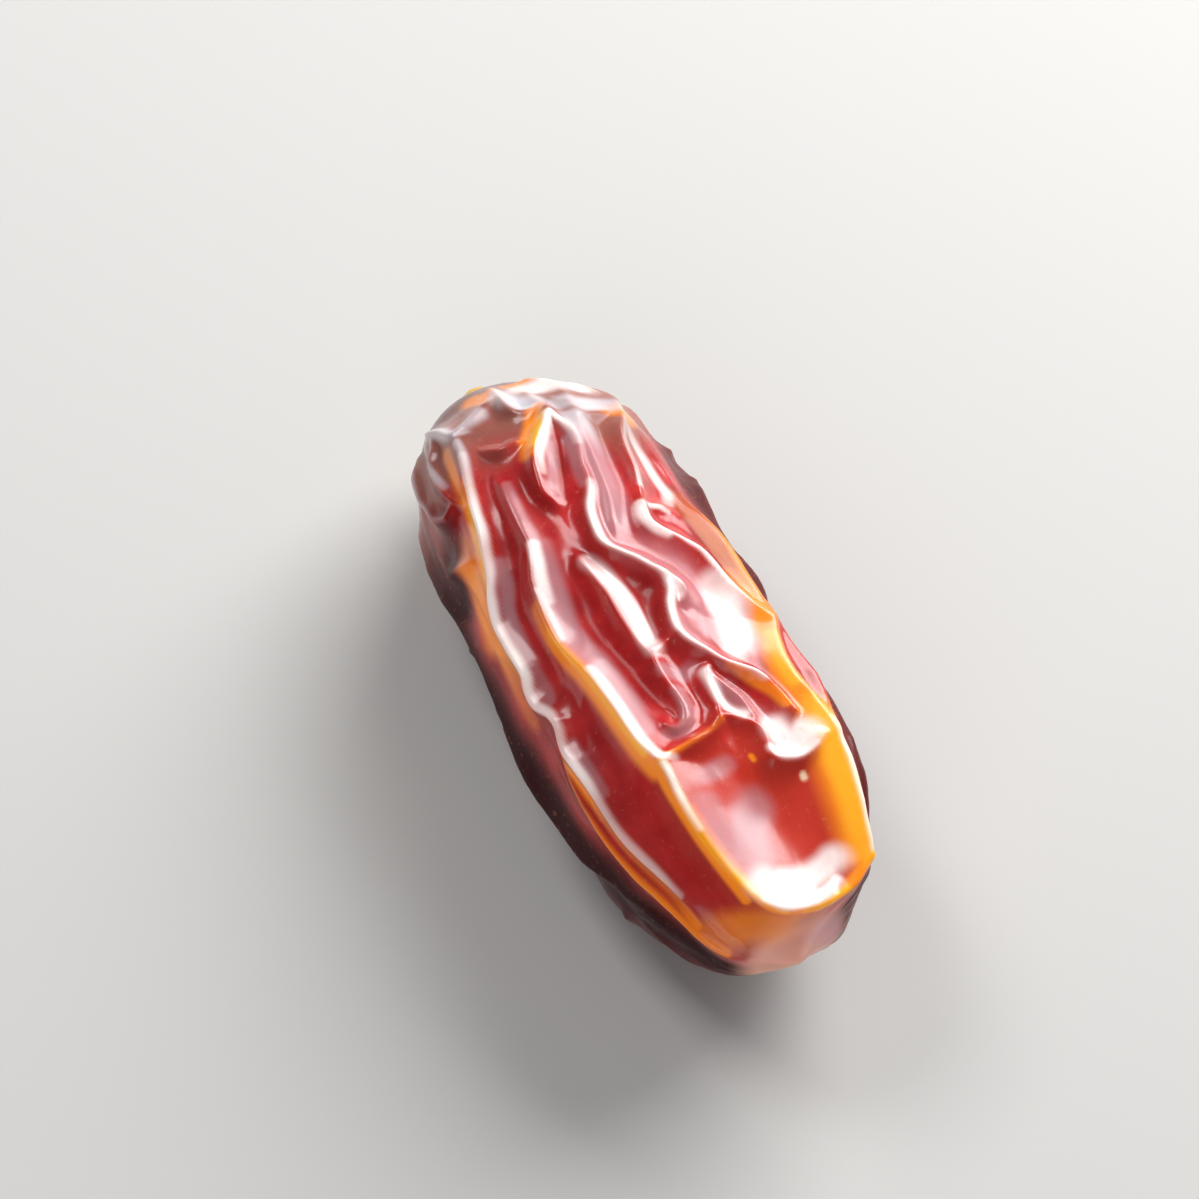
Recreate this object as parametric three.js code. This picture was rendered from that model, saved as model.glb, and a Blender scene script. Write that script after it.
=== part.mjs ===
// One mashrook date at rest, in millimetres, with +Z up and the length along +X.
// The calyx end is at low X and the blunt tip at high X.
// The wrinkled skin is one continuous surface: a loft along the date's length,
// raised by winding ridges. Places on the skin are written as
// [mm along the skin from the calyx pole, degrees round, mm high].
// 0 degrees is straight up and the angle grows towards +Y. The origin is on the floor,
// under the middle of the whole date.

import * as THREE from 'three';

// Driving dimensions of the fruit.
const LENGTH = 47.1;
const REST_DEPTH = 7.5;
const MIDDLE = [22.38, -0.04];
const SECTION_TURN = 12;
const ROUND_END_POWER = 2.15;
const BOXY_END_POWER = 3.25;
const TIP_ROUNDING = 0.75;
// Shares of the length over which the section turns boxy, and round again at the tip.
const BOXY_SPAN = [0.45, 0.9];
const TIP_SPAN = [0.94, 1];

// Stations along the length: x, half width, half height, centre y, centre z, pitch in degrees.
const STATIONS = [
  [0.0, 0.0, 0.0, -0.5, -2.9, 24],
  [0.25, 2.6, 2.4, -0.5, -2.8, 24],
  [1.2, 5.1, 4.7, -0.4, -2.3, 22],
  [3.8, 7.2, 6.6, -0.1, -1.1, 15],
  [8.5, 8.5, 7.6, 0.1, 0.3, 5],
  [16.0, 9.0, 8.1, 0.1, 0.5, 1],
  [25.0, 9.1, 8.3, 0.1, 0.6, 0],
  [33.0, 8.6, 7.9, 0.1, 0.7, 0],
  [39.0, 7.5, 6.8, 0.2, 1.0, 0],
  [43.0, 6.3, 5.5, 0.3, 1.3, 0],
  [45.4, 4.7, 4.1, 0.0, 1.3, 0],
  [46.6, 2.7, 2.4, -0.3, 1.3, 0],
  [LENGTH, 0.0, 0.0, -0.4, 1.3, 0],
];

// The relief of the skin.
const RIDGE_SCALE = 1.2;
const CREST_ROUNDING = 0.2;
// Half width of the narrowest ridge, so that the facets can follow it.
const LEAST_WIDTH = 0.7;
const VALLEY_DEPTH = 0.65;
const BLEND_POWER = 4;
const SMOOTH_COLLAR = [4.6, 7.5];
const SMOOTH_TIP = 2.5;
const SWELLS = [
  [0.12, 0.42, 2, 0.7],
  [0.1, 0.23, -3, 2.1],
  [0.06, 0.9, 5, 1.0],
];

// Facets between the ridges that have sunk further, like a worn saddle:
// mm along, degrees, mm deep, half length and half width in mm. A minus depth is a swelling.
const HOLLOWS = [
  [46.2, 13, 1.0, 4.2, 5.0],
  [43.0, -41, 0.35, 7.0, 1.8],
  [31.0, -22, 0.4, 6.0, 1.3],
  [29.5, 31, 0.55, 3.8, 2.3],
  [28.5, -3, 0.3, 3.5, 1.6],
  [16.0, -1, 0.35, 2.5, 1.6],
  [17.0, 43, 0.3, 3.5, 1.5],
  [40.2, 30, -0.25, 1.3, 2.6],
  [35.6, -2, 0.25, 1.6, 1.4],
];

// The part of the underside that is pressed flat where the date rests.
const REST_SPOT = { along: 29, halfLength: 13, halfAngle: 30, lift: 0.3, edge: [0.75, 1.15] };

// The hollow in the flesh that the calyx sits in.
const SEAT_DEPTH = 0.9;
const SEAT_EDGE = [4.1, 5.2];

// The calyx, a small woody cap.
const CALYX_RADIUS = 3.9;
const CALYX_LIFT = -0.62;
const CALYX_SCAR_OFFSET = [0.75, 0.5];
const CALYX_LOBES = [
  [0.055, 3, 0.4],
  [0.045, 5, 2.2],
  [0.02, 8, 1.1],
];
const CALYX_LUMPS = [
  [0.2, 3, 1.9, 5.0],
  [0.14, 5, 0.6, 9.0],
  [0.08, 9, 2.7, 13.0],
];
// Section of the calyx from the middle of its top to the middle of its underside:
// share of the radius, mm high, share of the lumps.
const CALYX_SECTION = [
  [0.0, 2.36, 0],
  [0.05, 2.34, 0],
  [0.09, 2.22, 0],
  [0.12, 1.98, 0],
  [0.17, 1.93, 0],
  [0.22, 2.12, 0.1],
  [0.28, 2.2, 0.3],
  [0.33, 2.08, 0.4],
  [0.38, 2.02, 0.6],
  [0.46, 2.1, 0.9],
  [0.56, 2.02, 1],
  [0.67, 1.84, 1],
  [0.78, 1.56, 1],
  [0.87, 1.18, 0.8],
  [0.94, 0.76, 0.5],
  [0.99, 0.3, 0.2],
  [1.0, -0.15, 0],
  [0.97, -0.5, 0],
  [0.9, -0.58, 0],
  [0.62, -0.24, 0],
  [0.3, -0.06, 0],
  [0.0, 0.0, 0],
];

// How finely the surfaces are divided.
const SEAT_ROWS = [1.2, 2.4, 3.4, 3.9, 4.3, 4.65, 5.0, 5.4, 5.9];
const SKIN_ROWS = 70;
const COLUMNS = 74;
const TOP_FINENESS = 0.22;
const LOFT_STEPS = 24;
const RIDGE_STEPS = 4;
const SLOPE_STEP = 0.05;
const CALYX_COLUMNS = 60;

// Ridges of the upper side: half width in mm and the places they run through.
const RIDGES = [
  { name: 'left shoulder', width: 0.8, path: [
    [8.5, -36, 0.2], [11, -36, 0.5], [12.8, -37, 0.65], [14.7, -39.5, 0.8],
    [16.3, -41.5, 0.9], [18, -42.5, 0.95], [20, -46, 1], [21.7, -49.5, 1], [22.8, -55, 1],
    [24, -59, 1], [25.3, -59.3, 1], [26.6, -58.8, 1], [28.2, -58.5, 1], [29.3, -61.5, 1],
    [30.6, -61.5, 0.95], [32, -56, 0.9], [33.2, -55.5, 0.9], [34.5, -58, 0.9],
    [36, -57, 0.95], [38, -57, 0.9], [40.3, -58, 0.85], [42, -59, 0.85], [44, -59, 0.8],
    [46, -58.5, 0.7], [47.8, -60, 0.5], [50, -62, 0.25]] },
  { name: 'left spur', width: 0.4, path: [
    [32.2, -56, 0.6], [32.8, -52, 0.5], [33.2, -48.5, 0.2]] },
  { name: 'lower edge', width: 0.75, path: [
    [34, -62, 0.3], [36, -65.5, 0.6], [37.6, -67, 0.75], [40, -69.5, 0.85],
    [43.5, -71, 0.9], [47, -72, 0.8], [50, -73.5, 0.65], [52.3, -72, 0.45]] },
  { name: 'middle and front rim', width: 0.8, path: [
    [15, -29, 0.15], [16.5, -27.3, 0.45], [18, -27.5, 0.55], [19.8, -28, 0.6],
    [21.4, -28.5, 0.7], [22.6, -30.8, 0.8], [23.8, -33.8, 0.85], [25.4, -35.5, 0.9],
    [27.2, -36.8, 1], [28.7, -36.5, 1.05], [30.1, -34.5, 1.05], [31.8, -31.5, 1.05],
    [33.2, -30.3, 1.05], [34.8, -29, 1.05], [36.6, -28.3, 1.05], [38.2, -27, 1.1],
    [39.4, -25, 1.15], [40.6, -25.3, 1.1], [41.8, -26.5, 1.05], [43.7, -27, 1.05],
    [45.7, -27, 1], [47.7, -26.5, 0.95], [49.3, -23.5, 0.9], [50.4, -16.5, 0.85],
    [51.1, -5, 0.8], [51.4, 8, 0.8], [51.5, 19, 0.85], [51.4, 30, 0.9], [51.1, 41, 0.9],
    [50.4, 52, 0.95], [49, 58, 1]] },
  { name: 'right shoulder', width: 1.15, path: [
    [17, 52, 0.15], [20.5, 51, 0.4], [24, 53, 0.8], [26.6, 53, 0.95], [29.6, 51, 1],
    [31.5, 49.5, 1.05], [33.3, 46, 1.05], [35.2, 43.5, 1], [37, 43.5, 1], [39.8, 47.5, 1.1],
    [42, 50, 1.15], [44.5, 52, 1.15], [47, 55, 1.15], [49, 58, 1]] },
  { name: 'outer right', width: 0.6, path: [
    [30.6, 50, 0.5], [32.2, 53.5, 0.8], [34, 55.5, 0.9], [35.8, 56, 0.9], [37.6, 55, 0.9],
    [39.4, 52, 0.9], [40.8, 50, 0.8]] },
  { name: 'outer edge', width: 0.8, path: [
    [33, 67, 0.2], [36, 66, 0.6], [38.5, 66, 0.8], [41, 67, 0.8], [44, 70, 0.7],
    [47, 72, 0.5], [49.5, 74, 0.3]] },
  { name: 'river', width: 0.55, path: [
    [12.4, 7, 0.8], [13.4, 8.5, 0.8], [14.4, 11.3, 0.75], [15.2, 11.5, 0.7],
    [16.2, 9.5, 0.7], [17.3, 7.3, 0.7], [18.5, 6.2, 0.7], [19.7, 3.5, 0.75],
    [21, -0.8, 0.8], [22.5, -2.8, 0.85], [23.8, -2.8, 0.9], [24.8, 2, 0.9], [25.6, 6, 0.9],
    [26.5, 9, 0.9], [27.2, 12, 0.9], [27.9, 12.5, 0.9], [28.7, 11, 0.9], [29.6, 7.8, 0.9],
    [30.7, 6, 0.95], [31.8, 5.5, 0.95], [32.8, 8, 0.95], [33.7, 12, 0.95], [34.6, 16, 0.95],
    [35.3, 22, 0.95], [35.9, 27.5, 0.95], [36.6, 31, 0.9], [37.6, 33.5, 0.85],
    [39, 35.5, 0.8]] },
  { name: 'river hook', width: 0.5, path: [
    [27.5, 12.5, 0.8], [28.2, 17, 0.8], [28.9, 17.8, 0.7], [29.4, 15, 0.5], [29.4, 12, 0.3]] },
  { name: 'river head', width: 0.6, path: [
    [8.5, 10, 0.2], [10.8, 9, 0.4], [12.4, 7, 0.85], [13.3, 3.5, 0.95], [14, -1.5, 0.95],
    [14.9, -6.5, 0.9], [16, -10, 0.85], [17.2, -12, 0.75], [18.4, -13.3, 0.6],
    [19.4, -11, 0.3]] },
  { name: 'upper band', width: 0.9, path: [
    [9, 27, 0.3], [11, 24, 0.4], [13, 19, 0.5], [15, 16, 0.55], [17, 13.5, 0.6],
    [19, 11.5, 0.6], [20.6, 9.5, 0.6], [22, 6.5, 0.5], [23.2, 4, 0.3]] },
  { name: 'upper right', width: 0.65, path: [
    [9, 50, 0.3], [11, 49, 0.5], [12.6, 44, 0.65], [13.8, 40, 0.75], [15, 34, 0.8],
    [16.2, 31, 0.8], [18.4, 28, 0.75], [20, 25.3, 0.75], [21.6, 21.5, 0.85],
    [22.9, 20.5, 0.8], [23.9, 24, 0.8], [24.7, 28, 0.85], [25.3, 32, 0.85], [26.2, 36, 0.9],
    [27.6, 39, 0.9], [29.2, 41.5, 0.9], [30.6, 44, 0.9], [31.8, 47.5, 0.9]] },
  { name: 'upper spur', width: 0.6, path: [
    [21.6, 21.5, 0.7], [21.6, 27, 0.65], [21.6, 32.5, 0.55], [21.9, 38, 0.3]] },
  { name: 'inner', width: 0.6, path: [
    [23.3, -15, 0.15], [24.2, -13.8, 0.5], [25.4, -12.2, 0.65], [27, -10.8, 0.75],
    [28.6, -10.8, 0.75], [30.2, -10.5, 0.75], [31.4, -9.8, 0.7], [32.4, -8, 0.65],
    [33.4, -8.3, 0.65], [34.6, -7.8, 0.6], [35.6, -6.5, 0.6], [36.6, -6.3, 0.6],
    [37.5, -8.5, 0.55], [37.8, -13, 0.5], [37.3, -16, 0.4]] },
  { name: 'inner link', width: 0.6, path: [
    [31.9, 5, 0.8], [32, 0, 0.55], [32.3, -6, 0.6]] },
  { name: 'sill', width: 0.6, path: [
    [39.5, -24.5, 1.05], [39.3, -20, 0.85], [39.2, -14, 0.75], [39, -7, 0.7],
    [38.8, -1, 0.7], [38.4, 3, 0.75], [38.1, 6.5, 0.75], [38.3, 11, 0.7],
    [38.8, 15.5, 0.65], [39.5, 19, 0.6], [40.4, 20, 0.4]] },
  { name: 'fork', width: 0.6, path: [
    [34.2, 12, 0.4], [34.7, 9.5, 0.65], [35.3, 7.5, 0.7], [36.2, 7, 0.75],
    [37.2, 6.5, 0.75], [38.2, 4.5, 0.7]] },
  { name: 'fork right', width: 0.5, path: [
    [35, 9.5, 0.5], [36.2, 13.5, 0.65], [37.3, 17.5, 0.65], [38.6, 19, 0.6]] },
  { name: 'sill right', width: 0.7, path: [
    [40.4, 19, 0.4], [41.5, 20, 0.6], [41.9, 25, 0.65], [42.1, 32, 0.75], [41.8, 38, 0.85],
    [41, 43, 0.9]] },
  { name: 'cap fold', width: 0.4, path: [
    [8, -46, 0.3], [9.7, -49, 0.55], [10.6, -54.5, 0.6], [11.8, -55.5, 0.6],
    [13.3, -54, 0.6], [14.6, -51, 0.5], [15.6, -46, 0.3]] },
  { name: 'cap loop', width: 0.4, path: [
    [7.5, -68, 0.3], [9, -71.5, 0.55], [11, -73.5, 0.65], [12.4, -72, 0.65],
    [14, -68, 0.65], [14.9, -61.5, 0.6], [14.8, -56, 0.5], [14.6, -51, 0.3]] },
  { name: 'cap rim', width: 0.5, path: [
    [7, -52, 0.3], [8, -48, 0.6], [9.2, -41, 0.7], [10.4, -37, 0.65], [10.4, -30, 0.6],
    [10.1, -24, 0.55], [9.6, -17, 0.5], [9.3, -9, 0.4]] },
  { name: 'cap ledge', width: 0.4, path: [
    [12.6, -30, 0.25], [13.3, -25, 0.5], [13.8, -20, 0.55], [13.8, -14, 0.5], [14, -9, 0.3]] },
  { name: 'cap brow', width: 0.45, path: [
    [7, -3, 0.3], [9, -5, 0.6], [10.6, -6, 0.6], [11.4, -3, 0.5], [11.6, 4, 0.5],
    [11.3, 10, 0.4]] },
  { name: 'cap crease', width: 0.5, path: [
    [7.5, 20, 0.4], [8.6, 24, 0.6], [9.6, 28, 0.6], [10, 36, 0.5], [10.4, 44, 0.4]] },
  { name: 'cap patch', width: 0.5, path: [
    [12.9, 13, 0.3], [13.2, 22, 0.4], [13.2, 32, 0.4], [12.8, 42, 0.3]] },
  { name: 'step left', width: 0.5, path: [
    [17, -82, 0.3], [17.6, -76, 0.55], [18.1, -70, 0.6], [18.6, -63, 0.5], [19, -58, 0.3]] },
];

// Ridges of the hidden sides wind along the date by rule, with links between neighbours.
// The last angle has a short ridge, because the right shoulder takes its place further on.
const HIDDEN_ANGLES = [-98, -122, -147, -172, 164, 141, 118, 95, 76];
const HIDDEN_SEED = 7;
const HIDDEN_PLACES = 13;
const HIDDEN_START = { at: 5.5, spread: 3 };
const HIDDEN_END = { at: 50.5, spread: 3.5, short: 30 };
const HIDDEN_HEIGHT = { least: 0.65, spread: 0.35 };
const HIDDEN_WIDTH = { least: 0.8, spread: 0.4 };
const HIDDEN_SWING = { least: 4, spread: 4, turn: 560, jitter: 3 };
const HIDDEN_WAVE = { middle: 0.72, size: 0.28, turn: 900, phase: 2.7 };
const HIDDEN_FADE = { slope: 5, start: 0.3, end: 0.25 };
const LINKS = {
  count: 11, from: 11, span: 33, lean: 5, bend: 0.4, width: 0.65, ends: 0.55, middle: 0.45,
};

function seeded(seed) {
  let state = seed;
  return () => {
    state = (state * 1664525 + 1013904223) % 4294967296;
    return state / 4294967296;
  };
}

function radians(degrees) {
  return (degrees * Math.PI) / 180;
}

function turnBetween(degrees, other) {
  return degrees - other - 360 * Math.round((degrees - other) / 360);
}

function smooth(from, to, x) {
  const t = Math.min(1, Math.max(0, (x - from) / (to - from)));
  return t * t * (3 - 2 * t);
}

// A smooth curve through the places, with the given number of steps between two of them.
function spline(places, steps) {
  const before = places[0].map((v, i) => 2 * v - places[1][i]);
  const last = places.length - 1;
  const after = places[last].map((v, i) => 2 * v - places[last - 1][i]);
  const all = [before, ...places, after];
  const curve = [];
  for (let k = 1; k < all.length - 2; k++) {
    for (let s = 0; s < steps; s++) {
      const t = s / steps;
      curve.push(all[k].map((b, i) => {
        const a = all[k - 1][i];
        const c = all[k + 1][i];
        const d = all[k + 2][i];
        const square = 2 * a - 5 * b + 4 * c - d;
        const cube = 3 * b - a - 3 * c + d;
        return 0.5 * (2 * b + (c - a) * t + square * t * t + cube * t * t * t);
      }));
    }
  }
  curve.push(places[last].slice());
  return curve;
}

const LOFT = spline(STATIONS, LOFT_STEPS).map(([x, w, h, ...rest]) => [
  x, Math.max(w, 0), Math.max(h, 0), ...rest,
]);

// Distance along the skin from the calyx pole to each step of the loft.
const REACH = [0];
for (let i = 1; i < LOFT.length; i++) {
  const [xa, wa, ha] = LOFT[i - 1];
  const [xb, wb, hb] = LOFT[i];
  REACH.push(REACH[i - 1] + Math.hypot(xb - xa, (wb + hb - wa - ha) / 2));
}
const MERIDIAN = REACH[REACH.length - 1];

function station(along) {
  const m = Math.min(MERIDIAN, Math.max(0, along));
  let i = 1;
  while (i < REACH.length - 1 && REACH[i] < m) {
    i++;
  }
  const t = (m - REACH[i - 1]) / (REACH[i] - REACH[i - 1]);
  return LOFT[i].map((v, k) => LOFT[i - 1][k] + (v - LOFT[i - 1][k]) * t);
}

// A point on the loft, raised along its normal.
function placed(along, degrees, lift) {
  const [x, w, h, cy, cz, pitch] = station(along);
  const [xa, wa, ha] = station(along - SLOPE_STEP);
  const [xb, wb, hb] = station(along + SLOPE_STEP);
  const dx = xb - xa;
  const dr = (wb + hb - wa - ha) / 2;
  const length = Math.max(Math.hypot(dx, dr), 1e-9);
  const outward = (dx / length) * lift;
  const axial = (-dr / length) * lift;
  const share = x / LENGTH;
  const boxy = smooth(...BOXY_SPAN, share) * (1 - TIP_ROUNDING * smooth(...TIP_SPAN, share));
  const power = ROUND_END_POWER + (BOXY_END_POWER - ROUND_END_POWER) * boxy;
  const turned = radians(degrees - SECTION_TURN);
  const sum = Math.abs(Math.cos(turned)) ** power + Math.abs(Math.sin(turned)) ** power;
  const reach = sum ** (-1 / power);
  const side = (w * reach + outward) * Math.sin(radians(degrees));
  const rise = (h * reach + outward) * Math.cos(radians(degrees));
  const tilt = radians(pitch);
  return [
    x + axial * Math.cos(tilt) - rise * Math.sin(tilt),
    cy + side,
    cz + rise * Math.cos(tilt) + axial * Math.sin(tilt),
  ];
}

function hiddenRidges() {
  const draw = seeded(HIDDEN_SEED);
  const drawn = ({ least, spread }) => least + spread * draw();
  const short = HIDDEN_ANGLES[HIDDEN_ANGLES.length - 1];
  const made = HIDDEN_ANGLES.map((angle) => {
    const start = HIDDEN_START.at + HIDDEN_START.spread * draw();
    const fullEnd = HIDDEN_END.at - HIDDEN_END.spread * draw();
    const end = angle === short ? HIDDEN_END.short : fullEnd;
    const phase = draw() * 360;
    const tall = drawn(HIDDEN_HEIGHT);
    const swing = drawn(HIDDEN_SWING);
    const path = [];
    for (let j = 0; j < HIDDEN_PLACES; j++) {
      const f = j / (HIDDEN_PLACES - 1);
      const bend = Math.sin(radians(phase + HIDDEN_SWING.turn * f));
      const wander = swing * bend + HIDDEN_SWING.jitter * (draw() - 0.5);
      const rising = HIDDEN_FADE.slope * f + HIDDEN_FADE.start;
      const falling = HIDDEN_FADE.slope * (1 - f) + HIDDEN_FADE.end;
      const wave = Math.sin(radians(HIDDEN_WAVE.phase * phase + HIDDEN_WAVE.turn * f));
      const height = tall * (HIDDEN_WAVE.middle + HIDDEN_WAVE.size * wave);
      path.push([
        start + (end - start) * f,
        angle + wander,
        height * Math.min(1, rising, falling),
      ]);
    }
    return { width: drawn(HIDDEN_WIDTH), path };
  });
  for (let j = 0; j < LINKS.count; j++) {
    const k = Math.floor(draw() * (HIDDEN_ANGLES.length - 1));
    const from = HIDDEN_ANGLES[k];
    const next = HIDDEN_ANGLES[k + 1];
    const to = next - 360 * Math.round((next - from) / 360);
    const along = LINKS.from + LINKS.span * draw();
    const lean = LINKS.lean * (draw() - 0.5);
    const path = [
      [along, from, LINKS.ends],
      [along + lean * LINKS.bend, (from + to) / 2, LINKS.middle],
      [along + lean, to, LINKS.ends],
    ];
    made.push({ width: LINKS.width, path });
  }
  return made;
}

const RIDGE_LINES = [...RIDGES, ...hiddenRidges()].map(({ width, path }) => ({
  width: Math.max(width, LEAST_WIDTH),
  line: spline(path, RIDGE_STEPS),
}));

// Height of one ridge at a place on the skin.
function ridgeHeight({ width, line }, along, degrees, mmPerDegree) {
  let nearest = Infinity;
  let tall = 0;
  for (let i = 0; i < line.length - 1; i++) {
    const [ma, aa, ha] = line[i];
    const [mb, ab, hb] = line[i + 1];
    const px = along - ma;
    const py = turnBetween(degrees, aa) * mmPerDegree;
    const sx = mb - ma;
    const sy = (ab - aa) * mmPerDegree;
    const t = Math.min(1, Math.max(0, (px * sx + py * sy) / (sx * sx + sy * sy + 1e-12)));
    const away = Math.hypot(px - t * sx, py - t * sy);
    if (away < nearest) {
      nearest = away;
      tall = ha + (hb - ha) * t;
    }
  }
  const distance = Math.hypot(nearest, CREST_ROUNDING) - CREST_ROUNDING;
  return RIDGE_SCALE * Math.max(tall, 0) * Math.exp(-distance / width);
}

function relief(along, degrees) {
  const [, w, h] = station(along);
  const mmPerDegree = radians(Math.max((w + h) / 2, 1e-3));
  let total = 0;
  for (const ridge of RIDGE_LINES) {
    total += ridgeHeight(ridge, along, degrees, mmPerDegree) ** BLEND_POWER;
  }
  const swell = SWELLS.reduce(
    (sum, [size, perMm, perTurn, phase]) =>
      sum + size * Math.sin(perMm * along + perTurn * radians(degrees) + phase), 0);
  const sunk = HOLLOWS.reduce((sum, [m, angle, depth, halfLength, halfWidth]) => {
    const across = (turnBetween(degrees, angle) * mmPerDegree) / halfWidth;
    return sum + depth * Math.exp(-(((along - m) / halfLength) ** 2) - across ** 2);
  }, 0);
  return total ** (1 / BLEND_POWER) - sunk + swell - VALLEY_DEPTH;
}

// A point of the finished skin, with the floor at z = 0.
function skin(along, degrees) {
  const fade = smooth(...SMOOTH_COLLAR, along) * smooth(0, SMOOTH_TIP, MERIDIAN - along);
  const away = Math.hypot((along - REST_SPOT.along) / REST_SPOT.halfLength,
    turnBetween(degrees, 180) / REST_SPOT.halfAngle);
  const pressed = 1 - smooth(...REST_SPOT.edge, away);
  const wrinkled = relief(along, degrees) * fade;
  const seat = -SEAT_DEPTH * (1 - smooth(...SEAT_EDGE, along));
  const lift = wrinkled + (REST_SPOT.lift - wrinkled) * pressed + seat;
  const [x, y, z] = placed(along, degrees, lift);
  return [x - MIDDLE[0], y - MIDDLE[1], Math.max(z, -REST_DEPTH) + REST_DEPTH];
}

// How far the middle of the line from p to q lies from a point.
function offMiddle(p, q, point) {
  return Math.hypot(...point.map((v, i) => v - (p[i] + q[i]) / 2));
}

// Closed surface from one pole through rings of points to the other pole. Where the true
// middle of a four-sided patch is known, the patch is split along its nearer diagonal.
function closedBody(firstPole, rings, lastPole, middleOf) {
  const points = [firstPole, ...rings.flat(), lastPole];
  const count = rings[0].length;
  const index = [];
  const end = points.length - 1;
  const at = (row, column) => 1 + row * count + (column % count);
  for (let c = 0; c < count; c++) {
    index.push(0, at(0, c), at(0, c + 1));
    for (let r = 0; r < rings.length - 1; r++) {
      const corners = [at(r, c), at(r + 1, c), at(r + 1, c + 1), at(r, c + 1)];
      const [a, b, d, e] = corners.map((corner) => points[corner]);
      const middle = middleOf ? middleOf(r, c) : null;
      const turned = middle && offMiddle(a, d, middle) < offMiddle(b, e, middle);
      const [i, j, k, l] = turned ? [...corners.slice(1), corners[0]] : corners;
      index.push(i, j, l);
      index.push(l, j, k);
    }
    index.push(at(rings.length - 1, c), end, at(rings.length - 1, c + 1));
  }
  const geometry = new THREE.BufferGeometry();
  geometry.setAttribute('position', new THREE.Float32BufferAttribute(points.flat(), 3));
  geometry.setIndex(index);
  geometry.computeVertexNormals();
  return geometry;
}

function fruitGeometry() {
  const rows = [...SEAT_ROWS];
  const first = SEAT_ROWS[SEAT_ROWS.length - 1];
  for (let r = 1; r < SKIN_ROWS; r++) {
    rows.push(first + ((MERIDIAN - first) * r) / SKIN_ROWS);
  }
  const angleOf = (column) => {
    const even = (2 * Math.PI * column) / COLUMNS;
    return ((even - TOP_FINENESS * Math.sin(even)) * 180) / Math.PI;
  };
  const rings = rows.map((along) => {
    const ring = [];
    for (let c = 0; c < COLUMNS; c++) {
      ring.push(skin(along, angleOf(c)));
    }
    return ring;
  });
  const middleOf = (r, c) => skin((rows[r] + rows[r + 1]) / 2, angleOf(c + 0.5));
  return closedBody(skin(0, 0), rings, skin(MERIDIAN, 0), middleOf);
}

// The calyx stands on the pole of the fruit and faces out along its axis.
function calyxGeometry() {
  const [px, , , py, pz, pitch] = STATIONS[0];
  const tilt = radians(pitch);
  const point = (share, height, lumps, angle) => {
    const rim = CALYX_LOBES.reduce(
      (sum, [size, count, phase]) => sum + size * Math.sin(count * angle + phase), 1);
    const bumps = CALYX_LUMPS.reduce(
      (sum, [size, count, phase, swirl]) =>
        sum + size * Math.sin(count * angle + phase + swirl * share), 0);
    const radius = CALYX_RADIUS * share * (1 + (rim - 1) * share);
    const shift = (1 - share) ** 2;
    const side = radius * Math.sin(angle) + CALYX_SCAR_OFFSET[0] * shift;
    const rise = radius * Math.cos(angle) + CALYX_SCAR_OFFSET[1] * shift;
    const out = CALYX_LIFT + height + bumps * lumps;
    return [
      px - MIDDLE[0] - out * Math.cos(tilt) - rise * Math.sin(tilt),
      py - MIDDLE[1] + side,
      pz - out * Math.sin(tilt) + rise * Math.cos(tilt) + REST_DEPTH,
    ];
  };
  const last = CALYX_SECTION.length - 1;
  const rings = CALYX_SECTION.slice(1, last).map(([share, height, lumps]) => {
    const ring = [];
    for (let c = 0; c < CALYX_COLUMNS; c++) {
      ring.push(point(share, height, lumps, (2 * Math.PI * c) / CALYX_COLUMNS));
    }
    return ring;
  });
  return closedBody(point(...CALYX_SECTION[0], 0), rings, point(...CALYX_SECTION[last], 0));
}

function mesh(name, geometry, color, roughness) {
  const material = new THREE.MeshStandardMaterial({ color, roughness, metalness: 0 });
  const made = new THREE.Mesh(geometry, material);
  made.name = name;
  return made;
}

const date = new THREE.Group();
date.name = 'mashrook_date';
date.add(mesh('fruit', fruitGeometry(), 0x8e2418, 0.3));
date.add(mesh('calyx', calyxGeometry(), 0xcf9a3a, 0.7));

export default date;
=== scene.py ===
# %% [markdown]
# A mashrook date, a long blunt date that dries on the palm until its skin wrinkles. This
# lesson dresses the plain solid model of it: the skin gets its full relief, its translucent
# flesh and its waxy gloss, and the small woody calyx gets its scar and creases.
# The forms are worked out in millimetres and turned to metres where the meshes are made.
# Lights, camera and the sizes inside the materials are in metres.

# %% Load the solid model
import math

import bpy
import numpy as np
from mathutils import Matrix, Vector


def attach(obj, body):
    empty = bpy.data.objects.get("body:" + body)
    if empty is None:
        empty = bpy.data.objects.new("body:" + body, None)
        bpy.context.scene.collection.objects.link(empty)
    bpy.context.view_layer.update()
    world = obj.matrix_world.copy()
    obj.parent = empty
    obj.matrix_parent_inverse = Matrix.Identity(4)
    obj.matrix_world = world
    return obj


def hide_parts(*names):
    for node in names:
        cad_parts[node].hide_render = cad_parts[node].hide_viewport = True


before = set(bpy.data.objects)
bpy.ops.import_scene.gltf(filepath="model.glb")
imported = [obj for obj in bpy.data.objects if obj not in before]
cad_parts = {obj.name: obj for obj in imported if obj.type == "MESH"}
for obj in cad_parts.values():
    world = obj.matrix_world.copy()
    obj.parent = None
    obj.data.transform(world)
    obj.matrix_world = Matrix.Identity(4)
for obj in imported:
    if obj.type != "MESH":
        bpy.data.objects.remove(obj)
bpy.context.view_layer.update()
MM = 0.001

# %% [markdown]
# Step 1. The form. A date grows as a smooth, slightly four-sided barrel. It could be
# sculpted, but then nobody could say how long it is. Here it is a loft: a short table of
# stations along its length, each with a half width, a half height, the place of its centre
# and its pitch, joined by a smooth curve. These are the solid model's own values.

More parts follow.
